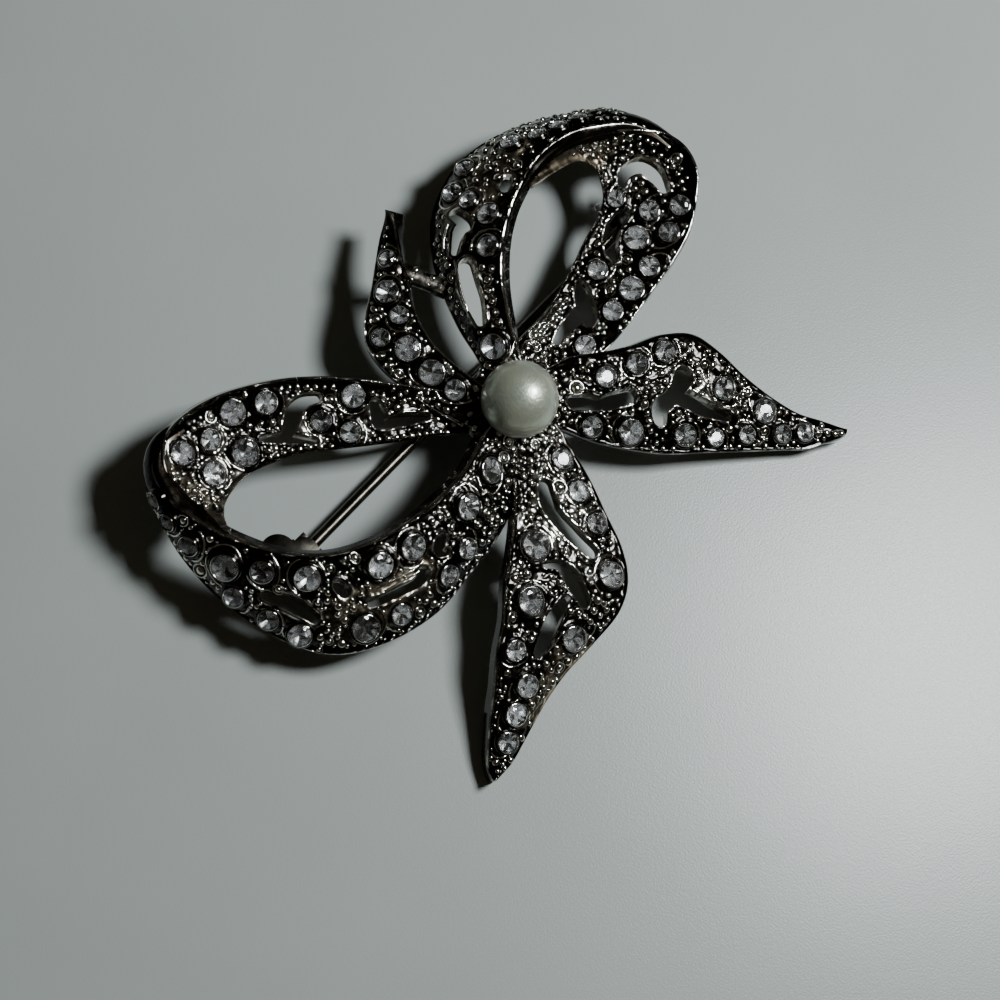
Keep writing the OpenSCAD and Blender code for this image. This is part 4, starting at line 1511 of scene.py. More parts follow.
@dataclass
class CastRibbon:
    """One ribbon of the casting: its band, its relief, and the beads and wires on it."""

    surface: RibbonSurface
    stones: list[SetStone]
    windows: WindowField
    pitch: float = 0.12
    seat_depth: float = 0.8
    edge_offsets: Row = (0.0, 0.05, 0.12, 0.21, 0.31, 0.42)
    back_points: int = 9
    bead_swell: float = 1.18
    wire_r: float = 0.12
    scroll_points: int = 19
    grain_tries: int = 2600
    grain_sizes: Row = (0.38, 0.32, 0.26, 0.21, 0.16)
    grain_odds: Row = (0.1, 0.2, 0.25, 0.25, 0.2)
    ringed_odds: float = 0.08
    ring_middle: float = 1.5
    ring_reach: float = 1.55
    lumps: tuple[Row, ...] = ((0.09, 0.8, 3), (0.055, 0.36, 5))
    pit_h: float = 0.16
    border_h: float = 0.12
    collar_h: float = 0.08
    bead_pit_h: float = 0.04
    ring_pit_h: float = 0.07

    def zone_share(self, kind: ZoneKind, s: Array, t: Array) -> Array:
        """Share of one kind of zone at some places, from 0 to 1."""
        masks = [zone.mask(s, t) for zone in self.surface.plan.zones if zone.kind is kind]
        return np.clip(sum(masks, np.zeros(len(s))), 0, 1)

    def decorate(self) -> Ornament:
        """Places the beads and wires.

        Returns:
            The ribbon's ornament: the table's rows first, then scrolls round the cups, then a fill of grains.
        """
        ornament = Ornament()
        for row in (BeadRow(*cells) for cells in self.surface.plan.bead_rows):
            shares = np.linspace(0.0, 1.0, row.count)
            s = row.start + (row.end - row.start) * shares
            t = row.start_share + (row.end_share - row.start_share) * shares
            points, normals = self.surface.face(s, np.clip(t, 0.02, 0.98))
            for point, normal in zip(points, normals):
                radius = self.bead_swell * row.radius
                if self.room_for(point, radius, ornament, 0.6):
                    ornament.add(point, normal, radius, row.kind)
        for knots in self.surface.plan.wires:
            self.lay_wire(ornament, np.array(knots), self.wire_r)
        self.lay_scrolls(ornament)
        self.fill_grains(ornament)
        return ornament

    def room_for(self, point: Array, radius: float, ornament: Ornament, overlap: float) -> bool:
        """Tells whether a bead fits at a place.

        Args:
            point: Middle of the bead.
            radius: Its radius.
            ornament: What is already placed.
            overlap: Share of the two radii that two beads keep between them.

        Returns:
            True where it is clear of the cups, the windows and the other beads.
        """
        for stone in self.stones:
            if np.linalg.norm(point - stone.point) < stone.size.value + 0.3 + radius * 0.75:
                return False
        if self.windows.distance(point[None])[0] < radius * 0.7:
            return False
        if ornament.centres:
            gaps = np.linalg.norm(np.array(ornament.centres) - point, axis=1)
            swell = [self.ring_reach if kind is RINGED else 1.0 for kind in ornament.kinds]
            reach = np.array(ornament.radii) * swell
            return bool(np.all(gaps > (reach + radius) * overlap))
        return True

    def lay_wire(self, ornament: Ornament, knots: Array, radius: float) -> None:
        """Lays a wire through some places of the face.

        Args:
            ornament: Gets the wire.
            knots: Section and share of each place.
            radius: Radius of the wire in millimetres.
        """
        run = np.linspace(0, len(knots) - 1, 5 * (len(knots) - 1) + 1)
        s = np.interp(run, range(len(knots)), knots[:, 0])
        t = np.interp(run, range(len(knots)), knots[:, 1])
        points, normals = self.surface.face(s, np.clip(t, 0.03, 0.97))
        taper = np.full(len(points), radius)
        taper[[0, -1]] *= 0.55
        ornament.paths.append((points + normals * radius * 0.35, taper))

    def lay_scrolls(self, ornament: Ornament) -> None:
        """Lays open scrolls that hug the cups, each with a bead at its end.

        Args:
            ornament: takes the scrolls and beads.
        """
        rng = np.random.default_rng(sum(map(ord, self.surface.plan.name)))
        for stone in self.stones:
            reach = stone.size.value + 0.31 + 0.16
            for start in (rng.uniform(0, 6.28), rng.uniform(0, 6.28)):
                sweep = rng.uniform(1.3, 2.6)
                angles = start + np.linspace(0, sweep, self.scroll_points)
                grow = np.linspace(0, 0.22, self.scroll_points)
                offsets = on_circle(angles) * (reach + grow)[:, None]
                s, t = self.surface.walk(stone.section, stone.share, offsets)
                points, normals = self.surface.face(np.clip(s, 0, self.surface.last), np.clip(t, 0, 1))
                clear = (t > 0.05) & (t < 0.95) & (s > 0.2) & (s < self.surface.last - 0.6)
                clear &= self.windows.distance(points) > 0.14
                for other in self.stones:
                    if other is not stone:
                        clear &= np.linalg.norm(points - other.point, axis=1) > other.size.value + 0.36
                for centre, radius in zip(ornament.centres, ornament.radii):
                    clear &= np.linalg.norm(points - centre, axis=1) > radius + 0.05
                run = longest_run(clear)
                if run[1] - run[0] < 8:
                    continue
                keep = slice(*run)
                width = 0.07 + 0.06 * rng.uniform(0, 1, run[1] - run[0])
                width[[0, -1]] = 0.05
                ornament.paths.append((points[keep] + normals[keep] * 0.05, width))
                tip = run[1] - 1
                if self.room_for(points[tip], 0.17, ornament, 0.7):
                    ornament.add(points[tip], normals[tip], 0.17, PLAIN)

    def fill_grains(self, ornament: Ornament) -> None:
        """Fills the free face with cast grains of mixed sizes.

        Args:
            ornament: takes the grains.
        """
        plan, surface = self.surface.plan, self.surface
        rng = np.random.default_rng(7 + sum(map(ord, plan.name)))
        tries = int(self.grain_tries * plan.fill)
        s = rng.uniform(0.3, surface.last - 0.5, tries)
        t = rng.uniform(0.0, 1.0, tries)
        points, normals = surface.face(s, t)
        width = surface.width(s)
        sizes = np.sort(rng.choice(self.grain_sizes, tries, p=self.grain_odds))[::-1]
        clear = t * width > plan.rim_margin + sizes * 0.5
        clear &= (1 - t) * width > plan.hem_margin + sizes * 0.5
        clear &= (self.zone_share(BARE, s, t) < 0.5) & (self.windows.distance(points) > sizes + 0.06)
        for stone in self.stones:
            clear &= np.linalg.norm(points - stone.point, axis=1) > stone.size.value + 0.33 + sizes
        for path, _ in ornament.paths:
            for knot in path[::2]:
                clear &= np.linalg.norm(points - knot, axis=1) > sizes + 0.13
        for i in np.flatnonzero(clear):
            if self.room_for(points[i], sizes[i], ornament, 1.0):
                kind = RINGED if sizes[i] > 0.22 and rng.uniform() < self.ringed_odds else PLAIN
                ornament.add(points[i], normals[i], float(sizes[i]), kind)

    def relief(self, s: Array, t: Array, ornament: Ornament) -> tuple[Array, Array]:
        """Height of the cast relief over the plain face.

        Args:
            s: Sections of the places.
            t: Shares of the places.
            ornament: Beads that get a shallow pit round them.

        Returns:
            Heights in millimetres and the patina of each place, whose first share also carries painted shade.
        """
        sizes, plan = self.surface.sizes, self.surface.plan
        points, _ = self.surface.face(s, t)
        width = self.surface.width(s)
        edge = np.minimum(t, 1 - t) * width
        # dark is the share of the painted-shade zones at each place.
        bare, brown, bright, dark = (self.zone_share(kind, s, t) for kind in ZoneKind)
        lip = sizes.lip_h * (0.5 * bump(edge, 0.0, 0.42) + 0.5 * bump(edge, 0.06, 0.17))
        lip -= 0.1 * (1 - soft_step(edge, 0.0, 0.12))
        ending = soft_step(s, self.surface.last - plan.fade - 1e-6, self.surface.last) * (plan.fade > 0)
        starting = (1 - soft_step(s, plan.lead - 1.0, plan.lead + 0.5)) * (plan.lead > 0) * (t < 0.5)
        line = (1 - ending) * (1 - starting)
        lip *= line
        inner = soft_step(edge, 0.15, 0.5)
        lumps = sum(high * lattice_noise(points, pitch, seed) for high, pitch, seed in self.lumps)
        height = lumps * inner * (1 - 0.75 * bare)
        for pit_s, pit_t, pit_r in plan.pits:
            centre, _ = self.surface.place(pit_s, pit_t)
            away = np.linalg.norm((points - centre) * (1.0, 1.0, 0.7), axis=1)
            height -= self.pit_h * (1 - soft_step(away, pit_r * 0.6, pit_r * 1.1))
        # Painted shade: the first share is lowered over the painted-shade zones, which darkens the plating
        # there.
        wear_and_shade = 0.08 + 3.4 * height + 0.12 * lattice_noise(points, 3.1, 9) + 0.42 * bright - 0.2 * dark
        rubbed = 0.5 * line * bump(edge, 0.08, 0.13) - 0.12 * bump(edge, 0.42, 0.14)
        wear_and_shade = np.where(edge < 0.5, wear_and_shade + rubbed, wear_and_shade)
        gap = self.windows.distance(points)
        border = bump(gap, 0.13, 0.12) * soft_step(edge, 0.1, 0.3)
        height += self.border_h * border
        wear_and_shade += 0.42 * border
        for centre, radius, kind in zip(ornament.centres, ornament.radii, ornament.kinds):
            near = np.abs(points - centre).max(axis=1) < radius + 0.5
            away = np.linalg.norm(points[near] - centre, axis=1)
            ring = radius * (self.ring_middle if kind is RINGED else 1.0)
            height[near] -= (self.ring_pit_h if kind is RINGED else self.bead_pit_h) * bump(away, ring, 0.12)
            wear_and_shade[near] -= 0.34 * bump(away, ring, 0.13)
        for stone in self.stones:
            r = stone.size.value
            near = np.abs(points - stone.point).max(axis=1) < r + 1.0
            away = np.linalg.norm(points[near] - stone.point, axis=1)
            collar = bump(away, r + 0.3, 0.14)
            height[near] += self.collar_h * collar
            wear_and_shade[near] -= 0.3 * bump(away, r + 0.45, 0.13)
            sunk = 1 - soft_step(away, r + 0.02, r + 0.15)
            height[near] = height[near] * (1 - sunk) - self.seat_depth * sunk
            wear_and_shade[near] *= 1 - sunk
        polish = np.clip(line * bump(edge, 0.1, 0.2) + bare, 0, 1)
        patina = np.stack([np.clip(wear_and_shade, 0, 1), brown * 0.7, polish * (1 - brown)], axis=1)
        seat = 1.0
        for stone in self.stones:
            away = np.linalg.norm(points - stone.point, axis=1)
            seat = seat * soft_step(away, stone.size.value + 0.02, stone.size.value + 0.3)
        return height + lip * seat, patina

    def draft(self, ornament: Ornament) -> MeshDraft:
        """Draws the band with its relief as one closed shell.

        Args:
            ornament: Beads that get a shallow pit round them.

        Returns:
            The draft, round the knot.
        """
        surface, wall = self.surface, self.surface.sizes.wall
        coarse = np.linspace(0, surface.last, 200)
        edges = [surface.face(coarse, np.full(200, share))[0] for share in (0.0, 1.0)]
        length = max(np.linalg.norm(np.diff(edge, axis=0), axis=1).sum() for edge in edges)
        rings = int(length / self.pitch)
        across = int(surface.width(coarse).max() / self.pitch)
        s_run = np.linspace(0, surface.last, rings)
        offsets = np.array(self.edge_offsets)
        shares = []
        for width in surface.width(s_run):
            near = offsets * min(1.0, 0.16 * width / offsets[-1]) / width
            middle = np.linspace(near[-1], 1 - near[-1], max(across - 2 * len(offsets), 6) + 2)[1:-1]
            shares.append(np.concatenate([near, middle, 1 - near[::-1]]))
        s_front = np.repeat(s_run, len(shares[0]))
        front, normals = surface.face(s_front, np.concatenate(shares))
        height, patina = self.relief(s_front, np.concatenate(shares), ornament)
        front = front + normals * height[:, None]

        back_t = np.concatenate([[1.0, 1.0], np.linspace(0.985, 0.015, self.back_points), [0.0, 0.0]])
        drop = np.concatenate([[-0.3, 0.12 - wall], np.full(self.back_points, -wall), [0.12 - wall, -0.3]])
        drop, s_back = np.tile(drop, rings), np.repeat(s_run, len(back_t))
        back, normals = surface.face(s_back, np.tile(back_t, rings))
        fade = surface.plan.fade
        thin = 1 - 0.82 * soft_step(s_back, surface.last - fade - 1e-6, surface.last) * (fade > 0)
        rough = 0.03 * lattice_noise(back, 1.4, 11) * (drop < 0.2 - wall)
        back = back + normals * (drop * thin + rough)[:, None]
        tone = [(wear_and_shade, 0.1, 0.0) for wear_and_shade in (0.12, 0.06, *[0.2] * self.back_points, 0.04, 0.08)]

        points = np.concatenate([front.reshape(rings, -1, 3), back.reshape(rings, -1, 3)], axis=1)
        patina = np.concatenate([patina.reshape(rings, -1, 3), np.tile(tone, (rings, 1, 1))], axis=1)
        sides = points.shape[1]
        draft = MeshDraft()
        faces = side_faces(rings, sides) + end_faces(rings, sides)
        draft.add(points.reshape(-1, 3), faces, patina.reshape(-1, 3))
        return draft

    def build(self, cutters: bpy.types.Collection, ornament: Ornament, finish: Material) -> Piece:
        """Builds the pierced band.

        Args:
            cutters: Prisms of the windows.
            ornament: Beads that get a shallow pit round them.
            finish: Material of the casting.

        Returns:
            The band's object.
        """
        name = f"cast_{self.surface.plan.name}"
        band = self.draft(ornament).build(name + "_draft", self.surface.sizes.knot_place)
        cut = band.modifiers.new("windows", "BOOLEAN")
        cut.operation = "DIFFERENCE"
        cut.operand_type = "COLLECTION"
        cut.collection = cutters
        cut.solver = "MANIFOLD"
        return dress(baked_copy(band, name), finish, 48)


def longest_run(flags: Array) -> tuple[int, int]:
    """Start and end of the longest run of true values.

    Args:
        flags: the values, in order.

    Returns:
        The run's first place and the place past its last.
    """
    best, start = (0, 0), None
    for i, flag in enumerate([*flags, False]):
        if flag and start is None:
            start = i
        if not flag and start is not None:
            if i - start > best[1] - best[0]:
                best = (start, i)
            start = None
    return best


@dataclass
class Casting:
    """The whole openwork bow: seven ribbons, knot, tie bar, posts, cups, beads and wires."""

    sizes: BowSizes
    finishes: Finishes
    surfaces: list[RibbonSurface] = field(default_factory=list)
    stones: list[SetStone] = field(default_factory=list)

    def __post_init__(self) -> None:
        """Works out the surfaces and the places of the stones."""
        self.surfaces = [RibbonSurface(plan, self.sizes) for plan in RIBBONS]
        for surface in self.surfaces:
            for s, t, letter in surface.plan.stones:
                point, normal = surface.place(s, t)
                size = StoneSize[letter.upper()]
                self.stones.append(SetStone(surface.plan.name, size, s, t, point, normal))
        self.windows = WindowField.of(self.surfaces)

    def build(self) -> list[Piece]:
        """Builds every piece of the casting.

        Returns:
            The pieces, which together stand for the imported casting.
        """
        cutters = self.windows.cutters(self.sizes.knot_place)
        pieces, ornaments = [], []
        for surface in self.surfaces:
            stones = [stone for stone in self.stones if stone.ribbon == surface.plan.name]
            ribbon = CastRibbon(surface, stones, self.windows)
            ornament = ribbon.decorate()
            ornaments.append(ornament)
            pieces.append(ribbon.build(cutters, ornament, self.finishes.cast))
            LOG.info("%s: %d beads", pieces[-1].name, len(ornament.centres))
        for cutter in list(cutters.objects):
            drop_piece(cutter)
        bpy.data.collections.remove(cutters)
        return [*pieces, self.knot(), self.cups(), *self.beads(ornaments), self.wires(ornaments)]

    def tie_ends(self) -> tuple[Array, Array]:
        """Places on the small tail and on the right loop that the tie bar joins."""
        small_tail, right_front = (self.surfaces[RIBBONS.index(plan)] for plan in (SMALL_TAIL, RIGHT_FRONT))
        return small_tail.place(6.6, 0.1)[0], right_front.place(3.2, 0.9)[0]

    def knot(self) -> Piece:
        """Builds the knot with its dish and peg, the tie bar and the two posts on the back.

        Returns:
            The dressed knot.
        """
        z = self.sizes
        draft = MeshDraft()
        dish_r = z.pearl_d / 2 + z.pearl_gap
        brim = math.sqrt(dish_r**2 - (z.pearl_z - z.knot_top) ** 2)
        bends = np.linspace(math.asin(z.peg_r / dish_r), math.asin(brim / dish_r), 8)
        base, peg_top = z.knot_top - z.knot_t, z.pearl_z - z.pearl_d / 2 + z.peg_h
        profile = [(0.0, peg_top), (z.peg_r, peg_top)]
        profile += [(dish_r * math.sin(a), z.pearl_z - dish_r * math.cos(a)) for a in bends]
        profile += [
            (brim + 0.12, z.knot_top + 0.02), (z.knot_r - 0.75, z.knot_top - 0.08),
            (z.knot_r - 0.35, z.knot_top - 0.35), (z.knot_r - 0.08, z.knot_top - 0.75),
            (z.knot_r, base + z.knot_t / 2), (z.knot_r - 0.25, base + 0.4), (z.knot_r - 0.6, base + 0.05),
            (z.knot_r - 0.9, base), (0.0, base),
        ]
        points, faces = lathe(profile, 72)
        outside = np.hypot(points[:, 0], points[:, 1]) > brim + 0.1
        points[:, 2] += 0.06 * lattice_noise(points, 0.9, 21) * outside
        draft.add(points, faces, (0.22, 0.0, 0.0))
        for side, x, share in ((-1, z.hinge_x + z.post_back, 0.78), (1, z.catch_x, 0.6)):
            foot, top, r = z.finding_top, z.bow_h * share, z.post_r
            post = [
                (0.0, foot), (r - 0.1, foot), (r, foot + 0.1), (r * 0.86, foot + 0.6 * (top - foot)),
                (r * 0.8, top - 0.15), (r * 0.7, top), (0.0, top),
            ]
            points, faces = lathe(post, 40)
            draft.add(points + (side * x, z.pin_y, 0), faces, (0.4, 0.1, 0.0))
        self.add_tie_bar(draft)
        return dress(draft.build("cast_knot", z.knot_place), self.finishes.cast, 50)

    def add_tie_bar(self, draft: MeshDraft) -> None:
        """Adds the bar that ties the small tail to the right loop.

        Args:
            draft: Gets the bar.
        """
        start, end = (place - (0, 0, 0.62) for place in self.tie_ends())
        along = unit(end - start)
        side = unit(np.cross(along, (0, 0, 1)))
        up = np.cross(side, along)
        length = np.linalg.norm(end - start)
        sides = 20
        turns = np.arange(sides) * 2 * math.pi / sides
        rings = []
        for share in np.linspace(-0.26, 1.26, 21):
            tip = math.sqrt(max(1 - (max(abs(share - 0.5) - 0.5, 0) / 0.262) ** 2, 0.0))
            waist = 1 - 0.14 * math.sin(math.pi * min(max(share, 0), 1))
            flat = np.outer(np.cos(turns), side) * 1.02 * tip * waist
            tall = np.outer(np.sin(turns), up) * 0.62 * tip
            rings.append(start + along * share * length + (flat + tall))
        points = np.concatenate(rings)
        points[:, 2] += 0.05 * lattice_noise(points, 0.6, 8)
        draft.add(points, side_faces(len(rings), sides) + end_faces(len(rings), sides), (0.3, 0.2, 0.0))

    def cups(self) -> Piece:
        """Builds the cup of every stone by seating one turned cup on each place.

        Returns:
            The dressed cups.
        """
        table = np.array([
            (0.71, -0.5, 0.0), (0.715, 0.2, 0.05), (0.725, 0.33, 0.45), (0.755, 0.385, 0.75),
            (0.795, 0.37, 0.6), (0.825, 0.27, 0.15), (0.85, 0.12, 0.0), (0.885, 0.1, 0.0),
            (0.92, 0.16, 0.3), (0.96, 0.12, 0.2), (1.0, -0.1, 0.0), (1.0, -0.5, 0.0),
        ])
        radii, heights, wear_and_shade = table.T
        points, faces = lathe(table[:, :2].tolist(), 32)
        spans = np.hypot(points[:, 0], points[:, 1])
        match = np.argmin((spans[:, None] - radii) ** 2 + (points[:, 2][:, None] - heights) ** 2, axis=1)
        patina = np.c_[wear_and_shade[match], np.zeros(len(points)), np.full(len(points), 0.6)]
        draft = MeshDraft()
        draft.add(points, faces, patina)
        shape = draft.build("cup_shape")
        shade(shape, 60)
        reach = self.sizes.stone_gap + self.sizes.cup_wall
        sizes = np.array([[s.size.value + reach, s.size.value + reach, 1.0] for s in self.stones])
        cloud = point_cloud(
            "cup_places", np.array([s.point for s in self.stones]), np.array([s.normal for s in self.stones]),
            sizes, self.sizes.knot_place,
        )
        piece = run_tree(cloud, seating_tree(), {"Shape": shape, "Finish": self.finishes.cast}, "cast_cups")
        drop_piece(shape)
        return piece

    def beads(self, ornaments: list[Ornament]) -> list[Piece]:
        """Builds the beads by seating a plain or a ringed bead on each place.

        Args:
            ornaments: Ornament of each ribbon.

        Returns:
            One piece of plain beads and one of ringed ones.
        """
        z = self.sizes
        whole = Ornament()
        for ornament in ornaments:
            for key in ("centres", "normals", "radii", "kinds"):
                getattr(whole, key).extend(getattr(ornament, key))
        rng = np.random.default_rng(40)
        for k in range(z.granules):
            a = 2 * math.pi * (k + rng.uniform(-0.12, 0.12)) / z.granules
            r = z.granule_r * rng.uniform(0.78, 0.98)
            x, y = math.cos(a), math.sin(a)
            place = np.array([(z.knot_r - 0.5) * x, (z.knot_r - 0.5) * y, z.knot_top - 0.1])
            lean = unit(np.array([x * 0.5, y * 0.5, 1.0]))
            whole.add(place, lean, r, PLAIN)
            small = a + math.pi / z.granules
            x, y = math.cos(small), math.sin(small)
            place = np.array([(z.knot_r - 0.12) * x, (z.knot_r - 0.12) * y, z.knot_top - 0.45])
            whole.add(place, unit(np.array([x, y, 0.8])), 0.24, PLAIN)
        start, end = self.tie_ends()
        for share, side, r in ((0.25, 0.5, 0.26), (0.3, -0.45, 0.36), (0.62, 0.45, 0.22), (0.7, -0.3, 0.24)):
            across = unit(np.cross(end - start, (0, 0, 1.0)))
            whole.add(start + (end - start) * share + across * side, np.array([0, 0, 1.0]), r, PLAIN)
        pieces = []
        tree = seating_tree()
        for kind in BeadKind:
            picked = [i for i, k in enumerate(whole.kinds) if k is kind]
            shape = self.bead_shape(kind)
            places = np.array(whole.centres)[picked]
            radii = np.array(whole.radii)[picked, None] * rng.uniform(0.8, 1.2, (len(picked), 3))
            stands = np.array(whole.normals)[picked] + rng.uniform(-0.25, 0.25, (len(picked), 3))
            cloud = point_cloud("bead_places", places, unit(stands), radii, z.knot_place)
            values = {"Shape": shape, "Finish": self.finishes.cast}
            pieces.append(run_tree(cloud, tree, values, f"cast_beads_{kind.value}"))
            drop_piece(shape)
        return pieces

    @staticmethod
    def bead_shape(kind: BeadKind) -> Piece:
        """Makes a bead of radius 1, sunk a little, with a ring round it where it is ringed.

        Args:
            kind: Plain or ringed.

        Returns:
            A helper object.
        """
        arc = [(math.cos(a) ** 0.8, 0.68 * math.sin(a)) for a in np.radians([-35, -5, 25, 50, 72])]
        turns = np.radians([200, 130, 70, 10, 290])
        ring = [(1.5 + 0.26 * math.cos(a), 0.02 + 0.26 * math.sin(a)) for a in turns]
        parts = [(lathe([(0.0, -0.6), *arc, (0.0, 0.68)], 12), 0.0, 1.7)]
        if kind is RINGED:
            parts.append((lathe(ring, 16), 0.1, 2.4))
        draft = MeshDraft()
        for (points, faces), low, rise in parts:
            count = len(points)
            wear_and_shade = np.clip(low + rise * points[:, 2], 0, 1)
            draft.add(points, faces, np.c_[wear_and_shade, np.zeros(count), np.full(count, 0.2)])
        shape = draft.build(f"bead_shape_{kind.value}")
        shade(shape, 70)
        return shape

    def wires(self, ornaments: list[Ornament]) -> Piece:
        """Builds the scrolls and wires that lie on the ribbons.

        Args:
            ornaments: Ornament of each ribbon.

        Returns:
            The piece.
        """
        paths = [path for ornament in ornaments for path in ornament.paths]
        cloud = path_cloud("wire_paths", paths, self.sizes.knot_place)
        values = {"Sides": 8, "Finish": self.finishes.cast}
        piece = run_tree(cloud, wire_tree(), values, "cast_scrolls")
        paint_patina(piece, (0.66, 0.0, 0.1))
        shade(piece, 60)
        return piece


def paint_patina(piece: Piece, patina: Row) -> None:
    """Gives every vertex of a mesh the same patina.

    Args:
        piece: the object to paint.
        patina: shares of wear, brown and polish.
    """
    mesh = piece.data
    layer = mesh.color_attributes.get(PATINA) or mesh.color_attributes.new(PATINA, "FLOAT_COLOR", "POINT")
    layer.data.foreach_set("color", np.tile(np.array([*patina, 1.0], np.float32), len(layer.data)))


# stones and pearl


@dataclass
class StoneSet:
    """Cut stones: a table, a crown of kites and stars, and a foiled pavilion."""

    stones: list[SetStone]
    sizes: BowSizes
    finishes: Finishes
    table_share: float = 0.56
    kite_share: float = 0.79
    kite_rise: float = 0.56
    waist_share: float = 0.42
    waist_drop: float = 0.6
    pavilion_share: float = 0.66
    facets: int = 57
    # Painted shade: tones that darken single facets and whole stones, in place of the dark reflections of
    # their facets; the stone tones also stand for old foil.
    facet_tones: Row = (0.0, 0.2, 0.6, 0.95)
    facet_odds: Row = (0.45, 0.2, 0.15, 0.2)
    stone_tones: Row = (0.0, 0.12, 0.3)
    stone_odds: Row = (0.5, 0.3, 0.2)
    lean_deg: tuple[float, float] = (4.0, 8.0)

    def cut(self, stone: SetStone, turn: float, lean: Array) -> tuple[Array, list[Face], list[int]]:
        """Draws one stone, pressed into its cup.

        Args:
            stone: The stone's place and size.
            turn: Turn round its own axis, in radians.
            lean: Small shift of its axis, as hand-set stones have.

        Returns:
            Points round the knot, faces, and the material slot of each face.
        """
        r = stone.size.value + self.sizes.stone_gap + 0.015
        crown = self.sizes.crown_h
        eighths = np.arange(8) * math.pi / 4
        sixteenths = np.arange(16) * math.pi / 8

        def circle(angles: Array, radius: float, z: float) -> Array:
            """Points on a level circle."""
            return np.c_[radius * on_circle(angles), np.full(len(angles), z)]

        table = circle(eighths, r * self.table_share, crown)
        kite = circle(eighths + math.pi / 8, r * self.kite_share, crown * self.kite_rise)
        girdle = circle(sixteenths, r, 0.0)
        depth = r * self.pavilion_share
        waist = circle(eighths + math.pi / 8, r * self.waist_share, -depth * self.waist_drop)
        points = np.concatenate([table, kite, girdle, waist, [[0, 0, -depth]]])
        faces: list[Face] = [tuple(range(8))]
        slots = [0]
        for k in range(8):
            after, before = (k + 1) % 8, (k - 1) % 8
            g0, g1, g2 = 16 + 2 * k, 16 + (2 * k + 1) % 16, 16 + (2 * k + 2) % 16
            faces += [(k, 8 + k, after), (k, 8 + before, g0, 8 + k), (8 + k, g0, g1), (8 + k, g1, g2)]
            faces += [(g0, 32 + before, 40, 32 + k), (32 + k, g1, g0), (32 + k, g2, g1)]
            slots += [0, 0, 0, 0, 1, 1, 1]
        lift = self.sizes.cup_h - crown / 2
        axes = frame_of(unit(stone.normal + lean), turn)
        return placed(points, axes, stone.point + stone.normal * lift), faces, slots

    def add(self, draft: MeshDraft, stone: SetStone, rng: np.random.Generator) -> None:
        """Adds one stone to a draft, its crown clear and its pavilion foiled.

        Args:
            draft: takes the stone.
            stone: its place and size.
            rng: turns and leans it.
        """
        turn, way = rng.uniform(0, math.pi / 4), rng.uniform(0, 2 * math.pi)
        lean = math.tan(math.radians(rng.uniform(*self.lean_deg)))
        points, faces, slots = self.cut(stone, turn, np.array([math.cos(way), math.sin(way), 0.0]) * lean)
        start = len(draft.slots)
        draft.add(points, faces)
        draft.slots[start:] = slots

    def build(self) -> list[tuple[Piece, str]]:
        """Builds the stones.

        Returns:
            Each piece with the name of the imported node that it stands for.
        """
        rng = np.random.default_rng(12)
        made = []
        field_draft = MeshDraft()
        number = 0
        for stone in self.stones:
            if stone.size.is_main:
                number += 1
                draft = MeshDraft()
                self.add(draft, stone, rng)
                made.append((draft.build(f"cut_stone_{number}", self.sizes.knot_place), f"stone_{number}"))
            else:
                self.add(field_draft, stone, rng)
        made.append((field_draft.build("cut_small_stones", self.sizes.knot_place), "small_stones"))
        for piece, _ in made:
            piece.data.materials.append(self.finishes.crystal)
            piece.data.materials.append(self.finishes.foil)
            # Painted shade on the foil, by facets and by whole stones.
            facets = piece.data.attributes.new(FACET_SHADE, "FLOAT", "FACE")
            count = len(facets.data)
            tones = rng.choice(self.facet_tones, count, p=self.facet_odds)
            aged_and_shaded = rng.choice(self.stone_tones, count // self.facets, p=self.stone_odds)
            tones += np.repeat(aged_and_shaded, self.facets)
            facets.data.foreach_set("value", tones.astype(np.float32))
            piece.visible_shadow = False
        return made


@dataclass
class Pearl:
    """The half-drilled pearl."""

    sizes: BowSizes
    finishes: Finishes

    def build(self) -> Piece:
        """Builds the pearl as a turned ball with its drilled hole.

        Returns:
            The dressed pearl.
        """
        z = self.sizes
        r = z.pearl_d / 2
        bore = z.peg_r + z.stone_gap
        depth = z.pearl_z - r + z.peg_h + z.stone_gap
        low = math.asin(bore / r)
        ball = [(r * math.sin(a), z.pearl_z - r * math.cos(a)) for a in np.linspace(low, math.pi - 1e-9, 72)]
        profile = [(0.0, depth), (bore - 0.05, depth), (bore, depth - 0.05), *ball[:-1], (0.0, z.pearl_z + r)]
        points, faces = lathe(profile, 112)
        spans = points - (0, 0, z.pearl_z)
        outside = np.linalg.norm(spans, axis=1) > r - 0.01
        dents = 0.004 + 0.004 * lattice_noise(points[outside], 1.8, 4)
        points[outside] -= unit(spans[outside]) * dents[:, None]
        draft = MeshDraft()
        draft.add(points, faces)
        return dress(draft.build("nacre_pearl", z.knot_place), self.finishes.pearl, 40)


# pin and findings


